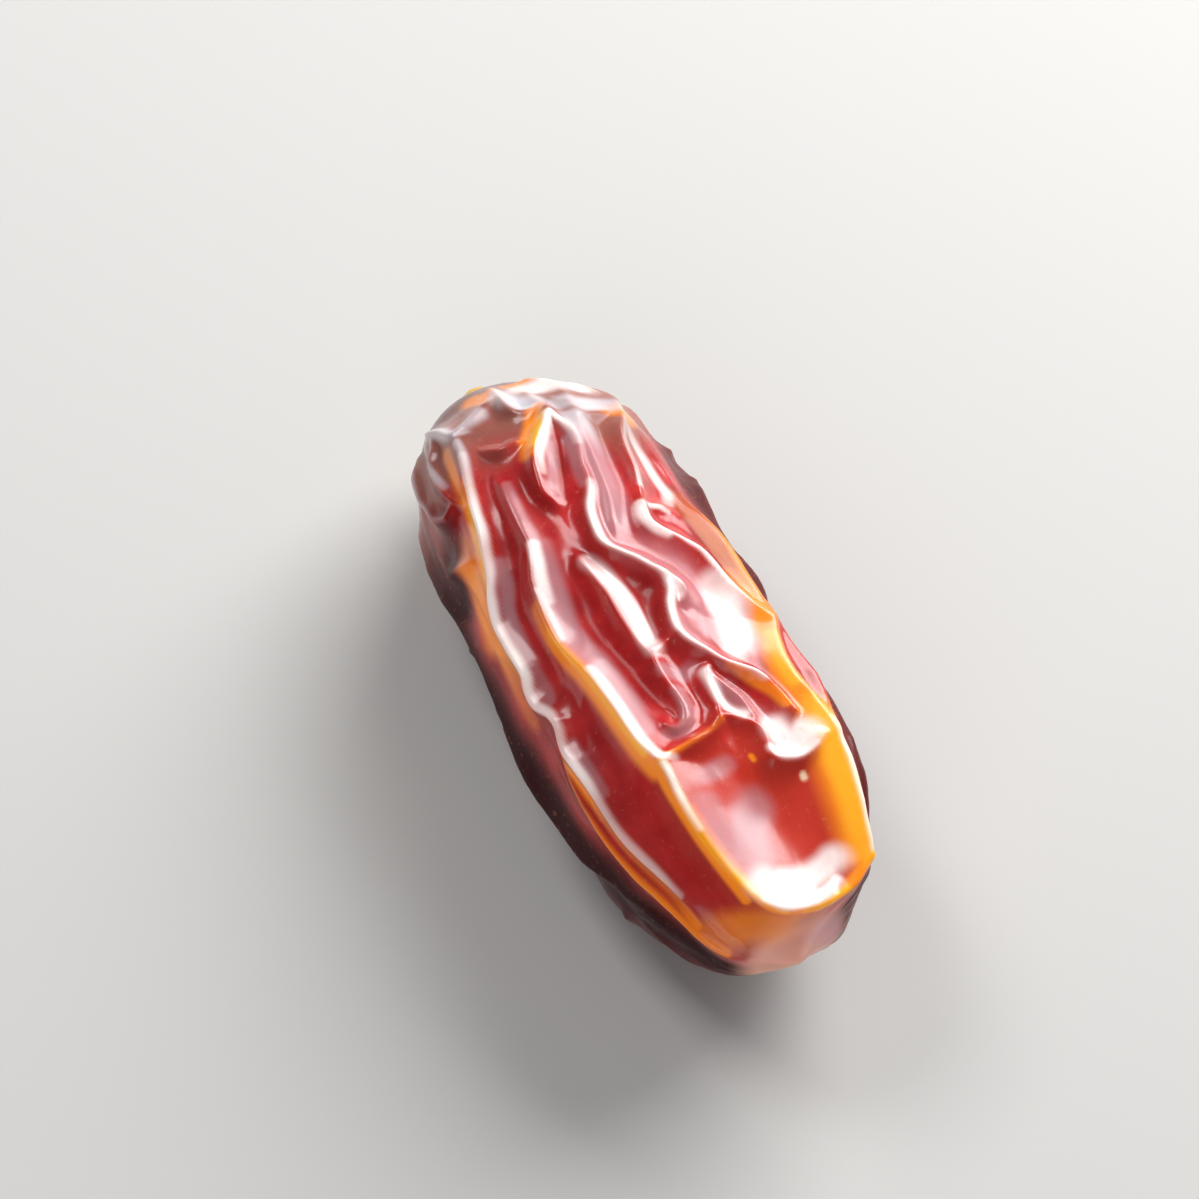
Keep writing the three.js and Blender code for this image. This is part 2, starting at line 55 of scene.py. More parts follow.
# %% The loft's stations
# The floor lies REST_DEPTH under the loft's axis, and the origin is under the axis's MIDDLE.
# The section's soft corners are turned by SECTION_TURN degrees. Its powers say how boxy it
# is: 2 would be a plain oval.
DATE_LENGTH = 47.1
REST_DEPTH = 7.5
MIDDLE = (22.38, -0.04)
SECTION_TURN = 12.0
ROUND_END_POWER, BOXY_END_POWER, TIP_ROUNDING = 2.15, 3.25, 0.75
# Shares of the length over which the section turns boxy, and round again at the tip.
BOXY_SPAN, TIP_SPAN = (0.45, 0.9), (0.94, 1.0)
LOFT_STEPS = 24
# x, half width, half height, centre y and centre z in mm, and the pitch in degrees.
STATIONS = [
    (0.0, 0.0, 0.0, -0.5, -2.9, 24.0),
    (0.25, 2.6, 2.4, -0.5, -2.8, 24.0),
    (1.2, 5.1, 4.7, -0.4, -2.3, 22.0),
    (3.8, 7.2, 6.6, -0.1, -1.1, 15.0),
    (8.5, 8.5, 7.6, 0.1, 0.3, 5.0),
    (16.0, 9.0, 8.1, 0.1, 0.5, 1.0),
    (25.0, 9.1, 8.3, 0.1, 0.6, 0.0),
    (33.0, 8.6, 7.9, 0.1, 0.7, 0.0),
    (39.0, 7.5, 6.8, 0.2, 1.0, 0.0),
    (43.0, 6.3, 5.5, 0.3, 1.3, 0.0),
    (45.4, 4.7, 4.1, 0.0, 1.3, 0.0),
    (46.6, 2.7, 2.4, -0.3, 1.3, 0.0),
    (DATE_LENGTH, 0.0, 0.0, -0.4, 1.3, 0.0),
]


def spline(places, steps):
    """A smooth curve through the places, with that many steps from each to the next."""
    p = np.array(places, float)
    p = np.vstack([2 * p[0] - p[1], p, 2 * p[-1] - p[-2]])
    t = np.arange(steps)[:, None] / steps
    curve = []
    for a, b, c, d in zip(p[:-3], p[1:-2], p[2:-1], p[3:]):
        square = 2 * a - 5 * b + 4 * c - d
        cube = 3 * b - a - 3 * c + d
        curve.append(0.5 * (2 * b + (c - a) * t + square * t**2 + cube * t**3))
    return np.vstack([*curve, p[-2][None]])


LOFT = spline(STATIONS, LOFT_STEPS)
LOFT[:, 1:3] = np.maximum(LOFT[:, 1:3], 0)
mean_radius = (LOFT[:, 1] + LOFT[:, 2]) / 2
REACH = np.concatenate([[0], np.cumsum(np.hypot(np.diff(LOFT[:, 0]), np.diff(mean_radius)))])
MERIDIAN = REACH[-1]
print("the skin measures", round(MERIDIAN, 2), "mm from pole to pole")

# %% [markdown]
# A place on the skin is given by two numbers, like latitude and longitude on a globe: the
# distance in millimetres along the skin from the calyx pole, and the angle round the date,
# with 0 straight up. The next cell turns such a place into a point, raised along the
# skin's own normal by the height of the wrinkle that is there.

# %% From a place on the skin to a point
SLOPE_STEP = 0.05
# Keeps a division from meeting a zero.
TINY = 1e-12


def smooth(start, end, x):
    """Rises gently from 0 at the start to 1 at the end."""
    t = np.clip((x - start) / (end - start), 0, 1)
    return t * t * (3 - 2 * t)


def turn_between(degrees, other):
    """The shorter way round from one angle to the other, from -180 to 180."""
    return (degrees - other + 180) % 360 - 180


def station(along):
    return [np.interp(along, REACH, values) for values in LOFT.T]


def placed(along, degrees, lift):
    """A point on the loft, raised along its normal."""
    x, w, h, cy, cz, pitch = station(along)
    xa, wa, ha = station(along - SLOPE_STEP)[:3]
    xb, wb, hb = station(along + SLOPE_STEP)[:3]
    dx, dr = xb - xa, (wb + hb - wa - ha) / 2
    length = np.maximum(np.hypot(dx, dr), TINY)
    outward, axial = dx / length * lift, -dr / length * lift
    share = x / DATE_LENGTH
    boxy = smooth(*BOXY_SPAN, share) * (1 - TIP_ROUNDING * smooth(*TIP_SPAN, share))
    power = ROUND_END_POWER + (BOXY_END_POWER - ROUND_END_POWER) * boxy
    angle, turned = np.radians(degrees), np.radians(degrees - SECTION_TURN)
    reach = (np.abs(np.cos(turned)) ** power + np.abs(np.sin(turned)) ** power) ** (-1 / power)
    side = (w * reach + outward) * np.sin(angle)
    rise = (h * reach + outward) * np.cos(angle)
    tilt = np.radians(pitch)
    return np.stack([
        x + axial * np.cos(tilt) - rise * np.sin(tilt),
        cy + side,
        cz + rise * np.cos(tilt) + axial * np.sin(tilt),
    ], -1)


top_height = placed(MERIDIAN / 2, 0.0, 0.0)[2] + REST_DEPTH
print("half way along, the smooth top stands", round(float(top_height), 2), "mm over the floor")

# %% [markdown]
# Step 2. The wrinkles. As a date dries, its skin keeps its area while the flesh shrinks, so it
# folds into winding ridges with hollow valleys between them. A noise texture can't give such
# ridges their long, branching lines. So each one is a named curve over the skin, with a
# height at each place and a half width, and the skin rises towards the nearest curve.

# %% The ridges of the upper side: half width, then (mm along, degrees, mm high)
RIDGES = {
    "left_shoulder": (0.8, [
        (8.5, -36, 0.2), (11, -36, 0.5), (12.8, -37, 0.65), (14.7, -39.5, 0.8),
        (16.3, -41.5, 0.9), (18, -42.5, 0.95), (20, -46, 1), (21.7, -49.5, 1), (22.8, -55, 1),
        (24, -59, 1), (25.3, -59.3, 1), (26.6, -58.8, 1), (28.2, -58.5, 1), (29.3, -61.5, 1),
        (30.6, -61.5, 0.95), (32, -56, 0.9), (33.2, -55.5, 0.9), (34.5, -58, 0.9),
        (36, -57, 0.95), (38, -57, 0.9), (40.3, -58, 0.85), (42, -59, 0.85), (44, -59, 0.8),
        (46, -58.5, 0.7), (47.8, -60, 0.5), (50, -62, 0.25)]),
    "left_spur": (0.4, [
        (32.2, -56, 0.6), (32.8, -52, 0.5), (33.2, -48.5, 0.2)]),
    "lower_edge": (0.75, [
        (34, -62, 0.3), (36, -65.5, 0.6), (37.6, -67, 0.75), (40, -69.5, 0.85),
        (43.5, -71, 0.9), (47, -72, 0.8), (50, -73.5, 0.65), (52.3, -72, 0.45)]),
    "middle_and_front_rim": (0.8, [
        (15, -29, 0.15), (16.5, -27.3, 0.45), (18, -27.5, 0.55), (19.8, -28, 0.6),
        (21.4, -28.5, 0.7), (22.6, -30.8, 0.8), (23.8, -33.8, 0.85), (25.4, -35.5, 0.9),
        (27.2, -36.8, 1), (28.7, -36.5, 1.05), (30.1, -34.5, 1.05), (31.8, -31.5, 1.05),
        (33.2, -30.3, 1.05), (34.8, -29, 1.05), (36.6, -28.3, 1.05), (38.2, -27, 1.1),
        (39.4, -25, 1.15), (40.6, -25.3, 1.1), (41.8, -26.5, 1.05), (43.7, -27, 1.05),
        (45.7, -27, 1), (47.7, -26.5, 0.95), (49.3, -23.5, 0.9), (50.4, -16.5, 0.85),
        (51.1, -5, 0.8), (51.4, 8, 0.8), (51.5, 19, 0.85), (51.4, 30, 0.9), (51.1, 41, 0.9),
        (50.4, 52, 0.95), (49, 58, 1)]),
    "right_shoulder": (1.15, [
        (17, 52, 0.15), (20.5, 51, 0.4), (24, 53, 0.8), (26.6, 53, 0.95), (29.6, 51, 1),
        (31.5, 49.5, 1.05), (33.3, 46, 1.05), (35.2, 43.5, 1), (37, 43.5, 1), (39.8, 47.5, 1.1),
        (42, 50, 1.15), (44.5, 52, 1.15), (47, 55, 1.15), (49, 58, 1)]),
    "outer_right": (0.6, [
        (30.6, 50, 0.5), (32.2, 53.5, 0.8), (34, 55.5, 0.9), (35.8, 56, 0.9), (37.6, 55, 0.9),
        (39.4, 52, 0.9), (40.8, 50, 0.8)]),
    "outer_edge": (0.8, [
        (33, 67, 0.2), (36, 66, 0.6), (38.5, 66, 0.8), (41, 67, 0.8), (44, 70, 0.7),
        (47, 72, 0.5), (49.5, 74, 0.3)]),
    "river": (0.55, [
        (12.4, 7, 0.8), (13.4, 8.5, 0.8), (14.4, 11.3, 0.75), (15.2, 11.5, 0.7), (16.2, 9.5, 0.7),
        (17.3, 7.3, 0.7), (18.5, 6.2, 0.7), (19.7, 3.5, 0.75), (21, -0.8, 0.8), (22.5, -2.8, 0.85),
        (23.8, -2.8, 0.9), (24.8, 2, 0.9), (25.6, 6, 0.9), (26.5, 9, 0.9), (27.2, 12, 0.9),
        (27.9, 12.5, 0.9), (28.7, 11, 0.9), (29.6, 7.8, 0.9), (30.7, 6, 0.95),
        (31.8, 5.5, 0.95), (32.8, 8, 0.95), (33.7, 12, 0.95), (34.6, 16, 0.95), (35.3, 22, 0.95),
        (35.9, 27.5, 0.95), (36.6, 31, 0.9), (37.6, 33.5, 0.85), (39, 35.5, 0.8)]),
    "river_hook": (0.5, [
        (27.5, 12.5, 0.8), (28.2, 17, 0.8), (28.9, 17.8, 0.7), (29.4, 15, 0.5),
        (29.4, 12, 0.3)]),
    "river_head": (0.6, [
        (8.5, 10, 0.2), (10.8, 9, 0.4), (12.4, 7, 0.85), (13.3, 3.5, 0.95), (14, -1.5, 0.95),
        (14.9, -6.5, 0.9), (16, -10, 0.85), (17.2, -12, 0.75), (18.4, -13.3, 0.6),
        (19.4, -11, 0.3)]),
    "upper_band": (0.9, [
        (9, 27, 0.3), (11, 24, 0.4), (13, 19, 0.5), (15, 16, 0.55), (17, 13.5, 0.6),
        (19, 11.5, 0.6), (20.6, 9.5, 0.6), (22, 6.5, 0.5), (23.2, 4, 0.3)]),
    "upper_right": (0.65, [
        (9, 50, 0.3), (11, 49, 0.5), (12.6, 44, 0.65), (13.8, 40, 0.75), (15, 34, 0.8),
        (16.2, 31, 0.8), (18.4, 28, 0.75), (20, 25.3, 0.75), (21.6, 21.5, 0.85), (22.9, 20.5, 0.8),
        (23.9, 24, 0.8), (24.7, 28, 0.85), (25.3, 32, 0.85), (26.2, 36, 0.9),
        (27.6, 39, 0.9), (29.2, 41.5, 0.9), (30.6, 44, 0.9), (31.8, 47.5, 0.9)]),
    "upper_spur": (0.6, [
        (21.6, 21.5, 0.7), (21.6, 27, 0.65), (21.6, 32.5, 0.55), (21.9, 38, 0.3)]),
    "inner": (0.6, [
        (23.3, -15, 0.15), (24.2, -13.8, 0.5), (25.4, -12.2, 0.65), (27, -10.8, 0.75),
        (28.6, -10.8, 0.75), (30.2, -10.5, 0.75), (31.4, -9.8, 0.7), (32.4, -8, 0.65),
        (33.4, -8.3, 0.65), (34.6, -7.8, 0.6), (35.6, -6.5, 0.6), (36.6, -6.3, 0.6),
        (37.5, -8.5, 0.55), (37.8, -13, 0.5), (37.3, -16, 0.4)]),
    "inner_link": (0.6, [
        (31.9, 5, 0.8), (32, 0, 0.55), (32.3, -6, 0.6)]),
    "sill": (0.6, [
        (39.5, -24.5, 1.05), (39.3, -20, 0.85), (39.2, -14, 0.75), (39, -7, 0.7), (38.8, -1, 0.7),
        (38.4, 3, 0.75), (38.1, 6.5, 0.75), (38.3, 11, 0.7), (38.8, 15.5, 0.65), (39.5, 19, 0.6),
        (40.4, 20, 0.4)]),
    "fork": (0.6, [
        (34.2, 12, 0.4), (34.7, 9.5, 0.65), (35.3, 7.5, 0.7), (36.2, 7, 0.75), (37.2, 6.5, 0.75),
        (38.2, 4.5, 0.7)]),
    "fork_right": (0.5, [
        (35, 9.5, 0.5), (36.2, 13.5, 0.65), (37.3, 17.5, 0.65), (38.6, 19, 0.6)]),
    "sill_right": (0.7, [
        (40.4, 19, 0.4), (41.5, 20, 0.6), (41.9, 25, 0.65), (42.1, 32, 0.75), (41.8, 38, 0.85),
        (41, 43, 0.9)]),
    "cap_fold": (0.4, [
        (8, -46, 0.3), (9.7, -49, 0.55), (10.6, -54.5, 0.6), (11.8, -55.5, 0.6), (13.3, -54, 0.6),
        (14.6, -51, 0.5), (15.6, -46, 0.3)]),
    "cap_loop": (0.4, [
        (7.5, -68, 0.3), (9, -71.5, 0.55), (11, -73.5, 0.65), (12.4, -72, 0.65), (14, -68, 0.65),
        (14.9, -61.5, 0.6), (14.8, -56, 0.5), (14.6, -51, 0.3)]),
    "cap_rim": (0.5, [
        (7, -52, 0.3), (8, -48, 0.6), (9.2, -41, 0.7), (10.4, -37, 0.65), (10.4, -30, 0.6),
        (10.1, -24, 0.55), (9.6, -17, 0.5), (9.3, -9, 0.4)]),
    "cap_ledge": (0.4, [
        (12.6, -30, 0.25), (13.3, -25, 0.5), (13.8, -20, 0.55), (13.8, -14, 0.5), (14, -9, 0.3)]),
    "cap_brow": (0.45, [
        (7, -3, 0.3), (9, -5, 0.6), (10.6, -6, 0.6), (11.4, -3, 0.5), (11.6, 4, 0.5),
        (11.3, 10, 0.4)]),
    "cap_crease": (0.5, [
        (7.5, 20, 0.4), (8.6, 24, 0.6), (9.6, 28, 0.6), (10, 36, 0.5), (10.4, 44, 0.4)]),
    "cap_patch": (0.5, [
        (12.9, 13, 0.3), (13.2, 22, 0.4), (13.2, 32, 0.4), (12.8, 42, 0.3)]),
    "step_left": (0.5, [
        (17, -82, 0.3), (17.6, -76, 0.55), (18.1, -70, 0.6), (18.6, -63, 0.5), (19, -58, 0.3)]),
}
print(len(RIDGES), "named ridges")

# %% [markdown]
# The sides that lie away from the light have ridges of the same kind. They run lengthwise
# and wind a little, with short links between neighbours, so a rule can lay them out. The
# random numbers come from a small fixed sequence, which gives the same date every time.

# %% Ridges of the hidden sides
# The last angle has a short ridge, because the right shoulder takes its place further on.
HIDDEN_ANGLES = (-98, -122, -147, -172, 164, 141, 118, 95, 76)
HIDDEN_SEED = 7
HIDDEN_PLACES = 13
# Each pair is a value and how far a random number may move it.
HIDDEN_START, HIDDEN_END = (5.5, 3.0), (50.5, -3.5)
HIDDEN_SHORT_END = 30.0
HIDDEN_HEIGHT, HIDDEN_WIDTH = (0.65, 0.35), (0.8, 0.4)
# A ridge swings by so many degrees to either side, its height goes up and down along it,
# and it fades at both ends.
SWING_SIZE, SWING_TURN, SWING_JITTER = (4.0, 4.0), 560.0, 3.0
WAVE_MIDDLE, WAVE_SIZE, WAVE_TURN, WAVE_PHASE = 0.72, 0.28, 900.0, 2.7
FADE_SLOPE, FADE_START, FADE_END = 5.0, 0.3, 0.25
# Links run across from a ridge to its neighbour.
LINK_COUNT = 11
LINK_START, LINK_LEAN, LINK_BEND = (11.0, 33.0), 5.0, 0.4
LINK_WIDTH, LINK_END_HEIGHT, LINK_MIDDLE_HEIGHT = 0.65, 0.55, 0.45
SEQUENCE_FACTOR, SEQUENCE_STEP, SEQUENCE_RANGE = 1664525, 1013904223, 2**32


def fixed_sequence(seed):
    """Numbers from 0 to 1 that look random and are the same every time."""
    state = seed
    while True:
        state = (state * SEQUENCE_FACTOR + SEQUENCE_STEP) % SEQUENCE_RANGE
        yield state / SEQUENCE_RANGE


def hidden_ridges():
    draw = fixed_sequence(HIDDEN_SEED)

    def drawn(pair):
        return pair[0] + pair[1] * next(draw)

    made = []
    for angle in HIDDEN_ANGLES:
        start = drawn(HIDDEN_START)
        end = drawn(HIDDEN_END)
        end = HIDDEN_SHORT_END if angle == HIDDEN_ANGLES[-1] else end
        phase = 360 * next(draw)
        tall = drawn(HIDDEN_HEIGHT)
        swing = drawn(SWING_SIZE)
        path = []
        for f in np.linspace(0, 1, HIDDEN_PLACES):
            bend = math.sin(math.radians(phase + SWING_TURN * f))
            wander = swing * bend + SWING_JITTER * (next(draw) - 0.5)
            fade = min(1, FADE_SLOPE * f + FADE_START, FADE_SLOPE * (1 - f) + FADE_END)
            wave = math.sin(math.radians(WAVE_PHASE * phase + WAVE_TURN * f))
            high = tall * (WAVE_MIDDLE + WAVE_SIZE * wave) * fade
            path.append((start + (end - start) * f, angle + wander, high))
        made.append((drawn(HIDDEN_WIDTH), path))
    for _ in range(LINK_COUNT):
        k = int(next(draw) * (len(HIDDEN_ANGLES) - 1))
        near, far = HIDDEN_ANGLES[k], HIDDEN_ANGLES[k + 1]
        far -= 360 * math.floor((far - near) / 360 + 0.5)
        along = drawn(LINK_START)
        lean = LINK_LEAN * (next(draw) - 0.5)
        path = [(along, near, LINK_END_HEIGHT),
                (along + lean * LINK_BEND, (near + far) / 2, LINK_MIDDLE_HEIGHT),
                (along + lean, far, LINK_END_HEIGHT)]
        made.append((LINK_WIDTH, path))
    return made


ALL_RIDGES = list(RIDGES.values()) + hidden_ridges()
print(len(ALL_RIDGES) - len(RIDGES), "ridges laid out by rule")

# %% [markdown]
# The height of the skin at a place is a soft maximum over all ridges: a high power of each
# height is summed and the root taken, so ridges merge without a seam where they meet.
# Each ridge falls away from its crest like a curtain, steep near the crest and shallow in
# the valley. That hollow valley is what tells dried fruit from a crumpled bag.

# %% Distance from a curve, and the relief
RIDGE_SCALE = 1.2
CREST_ROUNDING = 0.2
VALLEY_DEPTH = 0.65
BLEND_POWER = 4
RIDGE_STEPS = 4
LEAST_RADIUS = 0.001
# A curve's distance is worked out only within this many mm, and is far away elsewhere.
FARTHEST, FAR_AWAY = 6.0, 1000.0


def mm_per_degree(along):
    w, h = station(along)[1:3]
    return np.radians(np.maximum((w + h) / 2, LEAST_RADIUS))


def near_curve(along, degrees, path):
    """Distance to the curve in mm, and the curve's third value at its nearest point. The
    grid's rows have one distance along the skin each, so far rows are skipped."""
    line = spline(path, RIDGE_STEPS)
    scale = mm_per_degree(along)
    nearest = np.full(along.shape, FAR_AWAY)
    value = np.zeros(along.shape)
    for a, b in zip(line[:-1], line[1:]):
        low, high = min(a[0], b[0]) - FARTHEST, max(a[0], b[0]) + FARTHEST
        rows = slice(*np.searchsorted(along[:, 0], [low, high]))
        k = scale[rows]
        px, py = along[rows] - a[0], turn_between(degrees[rows], a[1]) * k
        sx, sy = b[0] - a[0], (b[1] - a[1]) * k
        t = np.clip((px * sx + py * sy) / (sx * sx + sy * sy + TINY), 0, 1)
        away = np.hypot(px - t * sx, py - t * sy)
        closer = away < nearest[rows]
        nearest[rows] = np.where(closer, away, nearest[rows])
        value[rows] = np.where(closer, a[2] + (b[2] - a[2]) * t, value[rows])
    return nearest, value


def ridge_height(along, degrees, width, path):
    nearest, tall = near_curve(along, degrees, path)
    distance = np.hypot(nearest, CREST_ROUNDING) - CREST_ROUNDING
    return np.maximum(tall, 0) * np.exp(-distance / width)


def relief(along, degrees):
    total = np.zeros(along.shape)
    for width, path in ALL_RIDGES:
        total += (RIDGE_SCALE * ridge_height(along, degrees, width, path)) ** BLEND_POWER
    return total ** (1 / BLEND_POWER)


# Some facets between the ridges have sunk further, like a worn saddle:
# mm along, degrees, mm deep, half length and half width in mm. A minus depth is a swelling.
HOLLOWS = (
    (46.2, 13, 1.0, 4.2, 5.0),
    (43.0, -41, 0.35, 7.0, 1.8),
    (31.0, -22, 0.4, 6.0, 1.3),
    (29.5, 31, 0.55, 3.8, 2.3),
    (28.5, -3, 0.3, 3.5, 1.6),
    (16.0, -1, 0.35, 2.5, 1.6),
    (17.0, 43, 0.3, 3.5, 1.5),
    (40.2, 30, -0.25, 1.3, 2.6),
    (35.6, -2, 0.25, 1.6, 1.4),
)


def hollows(along, degrees):
    scale = mm_per_degree(along)
    total = np.zeros(along.shape)
    for at_along, at_degrees, depth, half_length, half_width in HOLLOWS:
        away = ((along - at_along) / half_length) ** 2
        away = away + (turn_between(degrees, at_degrees) * scale / half_width) ** 2
        total += depth * np.exp(-away)
    return total


print(len(HOLLOWS), "hollows and swellings")

# %% The whole skin on one grid
# Rows round the calyx's seat and over the rest of the skin, and columns round the date. The
# columns stand closer together on the upper side, where the ridges are finest.
SEAT_REACH, SEAT_ROWS, SKIN_ROWS = 6.5, 35, 346
COLUMNS = 360
TOP_FINENESS = 0.22
# Slow swells: mm high, radians per mm along, waves round the date and phase.
SWELLS = ((0.12, 0.42, 2, 0.7), (0.10, 0.23, -3, 2.1), (0.06, 0.9, 5, 1.0))
along_rows = np.concatenate([
    np.linspace(0, SEAT_REACH, SEAT_ROWS, endpoint=False),
    np.linspace(SEAT_REACH, MERIDIAN, SKIN_ROWS),
])
even = 2 * np.pi * np.arange(COLUMNS) / COLUMNS
column_degrees = np.degrees(even - TOP_FINENESS * np.sin(even))
ALONG, AROUND = np.meshgrid(along_rows, column_degrees, indexing="ij")
HEIGHT = relief(ALONG, AROUND)
SUNK = hollows(ALONG, AROUND)
SWELL = sum(high * np.sin(per_mm * ALONG + waves * np.radians(AROUND) + phase)
            for high, per_mm, waves, phase in SWELLS)
print("grid", ALONG.shape, "ridges up to", round(float(HEIGHT.max()), 2), "mm high")

# %% [markdown]
# Between the big ridges the skin carries fine wrinkles, mostly lengthwise and one to two
# millimetres apart. They are too many to name. A stretched lattice noise, folded so that its
# zero line stands up, gives lines of that kind, and a slow warp makes them wander.

# %% Fine wrinkles
LATTICE_ROWS = 256
# Two layers: mm long, cells round the date, mm high, seed.
WRINKLE_LAYERS = ((4.2, 26, 0.16, 3), (2.6, 58, 0.07, 11))
WARP_LENGTH, WARP_COLUMNS, WARP_SIZE, WARP_SEED_STEP = 7.0, 9, 1.1, 50


def lattice_noise(u, v, columns, seed):
    """Smooth noise on a lattice that closes on itself after so many columns."""
    values = np.random.default_rng(seed).uniform(-1, 1, (LATTICE_ROWS, columns))
    iu, iv = np.floor(u).astype(int), np.floor(v).astype(int)
    fu, fv = smooth(0, 1, u - iu), smooth(0, 1, v - iv)

    def at(i, j):
        return values[i % LATTICE_ROWS, j % columns]

    top = at(iu, iv) * (1 - fv) + at(iu, iv + 1) * fv
    low = at(iu + 1, iv) * (1 - fv) + at(iu + 1, iv + 1) * fv
    return top * (1 - fu) + low * fu


def wrinkle_noise(length, columns, seed):
    warp = lattice_noise(ALONG / WARP_LENGTH, AROUND / 360 * WARP_COLUMNS, WARP_COLUMNS,
                         seed + WARP_SEED_STEP)
    return lattice_noise(ALONG / length, AROUND / 360 * columns + WARP_SIZE * warp, columns, seed)


FINE_WRINKLES = sum(high * (1 - 2 * np.abs(wrinkle_noise(length, columns, seed)))
                    for length, columns, high, seed in WRINKLE_LAYERS)
# The skin has no relief close round the calyx and at the very tip.
BARE_COLLAR, BARE_TIP = (4.6, 7.5), 2.5
WRINKLED = smooth(*BARE_COLLAR, ALONG) * smooth(0, BARE_TIP, MERIDIAN - ALONG)
print("before the wax fills them, fine wrinkles are up to",
      round(float(np.ptp(FINE_WRINKLES)), 2), "mm high")

# %% [markdown]
# Two more things shape the skin. A soft date is pressed flat where it lies, and its calyx end
# dips into a seat for the calyx. Both are blended in by a smooth step, so no edge shows.

# %% The skin's points, with the pressed rest spot and the calyx's seat
REST_ALONG, REST_HALF_LENGTH, REST_HALF_ANGLE, REST_LIFT = 29.0, 13.0, 30.0, 0.3
REST_EDGE = (0.75, 1.15)
SEAT_DEPTH, SEAT_EDGE = 0.9, (4.1, 5.2)
# Wax has filled part of the fine wrinkles, more of them on the upper side and most on the big
# facet at the tip end, which is given by mm along and degrees and by its half sizes.
UNFILLED = 0.55
FACET_AT, FACET_SIZE, FACET_FILLED = (46.0, 12.0), (5.5, 36.0), 0.85
UPPER_HALF_ANGLE, UPPER_FILLED = 50.0, 0.5
FINE_TIP_EDGE = (1.0, 7.0)
rest_distance = np.hypot((ALONG - REST_ALONG) / REST_HALF_LENGTH,
                         turn_between(AROUND, 180) / REST_HALF_ANGLE)
PRESSED = 1 - smooth(*REST_EDGE, rest_distance)
facet_distance = (((ALONG - FACET_AT[0]) / FACET_SIZE[0]) ** 2
                  + (turn_between(AROUND, FACET_AT[1]) / FACET_SIZE[1]) ** 2)
open_share = 1 - FACET_FILLED * np.exp(-facet_distance)
open_share *= 1 - UPPER_FILLED * np.exp(-(turn_between(AROUND, 0) / UPPER_HALF_ANGLE) ** 4)
open_share *= smooth(*FINE_TIP_EDGE, MERIDIAN - ALONG)
wrinkled = HEIGHT - SUNK + SWELL - VALLEY_DEPTH + FINE_WRINKLES * UNFILLED * open_share
wrinkled = wrinkled * WRINKLED
seat = -SEAT_DEPTH * (1 - smooth(*SEAT_EDGE, ALONG))
LIFT = wrinkled + (REST_LIFT - wrinkled) * PRESSED + seat
SKIN = placed(ALONG, AROUND, LIFT)
SKIN[..., 2] = np.maximum(SKIN[..., 2], -REST_DEPTH) + REST_DEPTH
SKIN[..., 0] -= MIDDLE[0]
SKIN[..., 1] -= MIDDLE[1]
print("skin from", SKIN.reshape(-1, 3).min(0).round(2), "to", SKIN.reshape(-1, 3).max(0).round(2))

# %% [markdown]
# The grid of points becomes a mesh of four-sided faces with a fan of triangles at each pole.
# Made from its points, it is closed and has no stray faces. Each point still knows its place
# on the skin, so a number for each point can be kept with the mesh, for the colours.

# %% One function joins rings of points into a closed mesh


def closed_mesh(name, rings):
    """rings is rows x columns x 3 in mm. The first and last rows are poles."""
    columns = rings.shape[1]
    last = rings.shape[0] - 3
    points = np.vstack([rings[0, :1], rings[1:-1].reshape(-1, 3), rings[-1, :1]]) * MM
    end = len(points) - 1

    def at(row, column):
        return 1 + row * columns + column % columns

    faces = [(0, at(0, c), at(0, c + 1)) for c in range(columns)]
    faces += [(at(r, c), at(r + 1, c), at(r + 1, c + 1), at(r, c + 1))
              for r in range(last) for c in range(columns)]
    faces += [(at(last, c), end, at(last, c + 1)) for c in range(columns)]
    mesh = bpy.data.meshes.new(name)
    mesh.from_pydata(points.tolist(), [], faces)
    mesh.validate()
    mesh.polygons.foreach_set("use_smooth", [True] * len(mesh.polygons))
    piece = bpy.data.objects.new(name, mesh)
    bpy.context.scene.collection.objects.link(piece)
    print(name, len(mesh.polygons), "faces")
    return piece


def keep_values(piece, name, grid):
    """Keeps one number for each point of the piece, for its material to read."""
    values = np.concatenate([grid[0, :1], grid[1:-1].ravel(), grid[-1, :1]])
    layer = piece.data.attributes.new(name, "FLOAT", "POINT")
    layer.data.foreach_set("value", values.astype(np.float32))


date_skin = closed_mesh("date_skin", SKIN)
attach(date_skin, "root")
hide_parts("fruit")

# %% [markdown]
# Step 3. Where the colours lie. Date skin is a thin amber film over dark red flesh. Where it
# folds up into a ridge with no flesh behind, light passes through and the ridge glows orange
# to yellow. In the valleys the film lies on the flesh and looks deep red. These places
# aren't random: they follow the ridges, so they are painted with the same kind of curves.

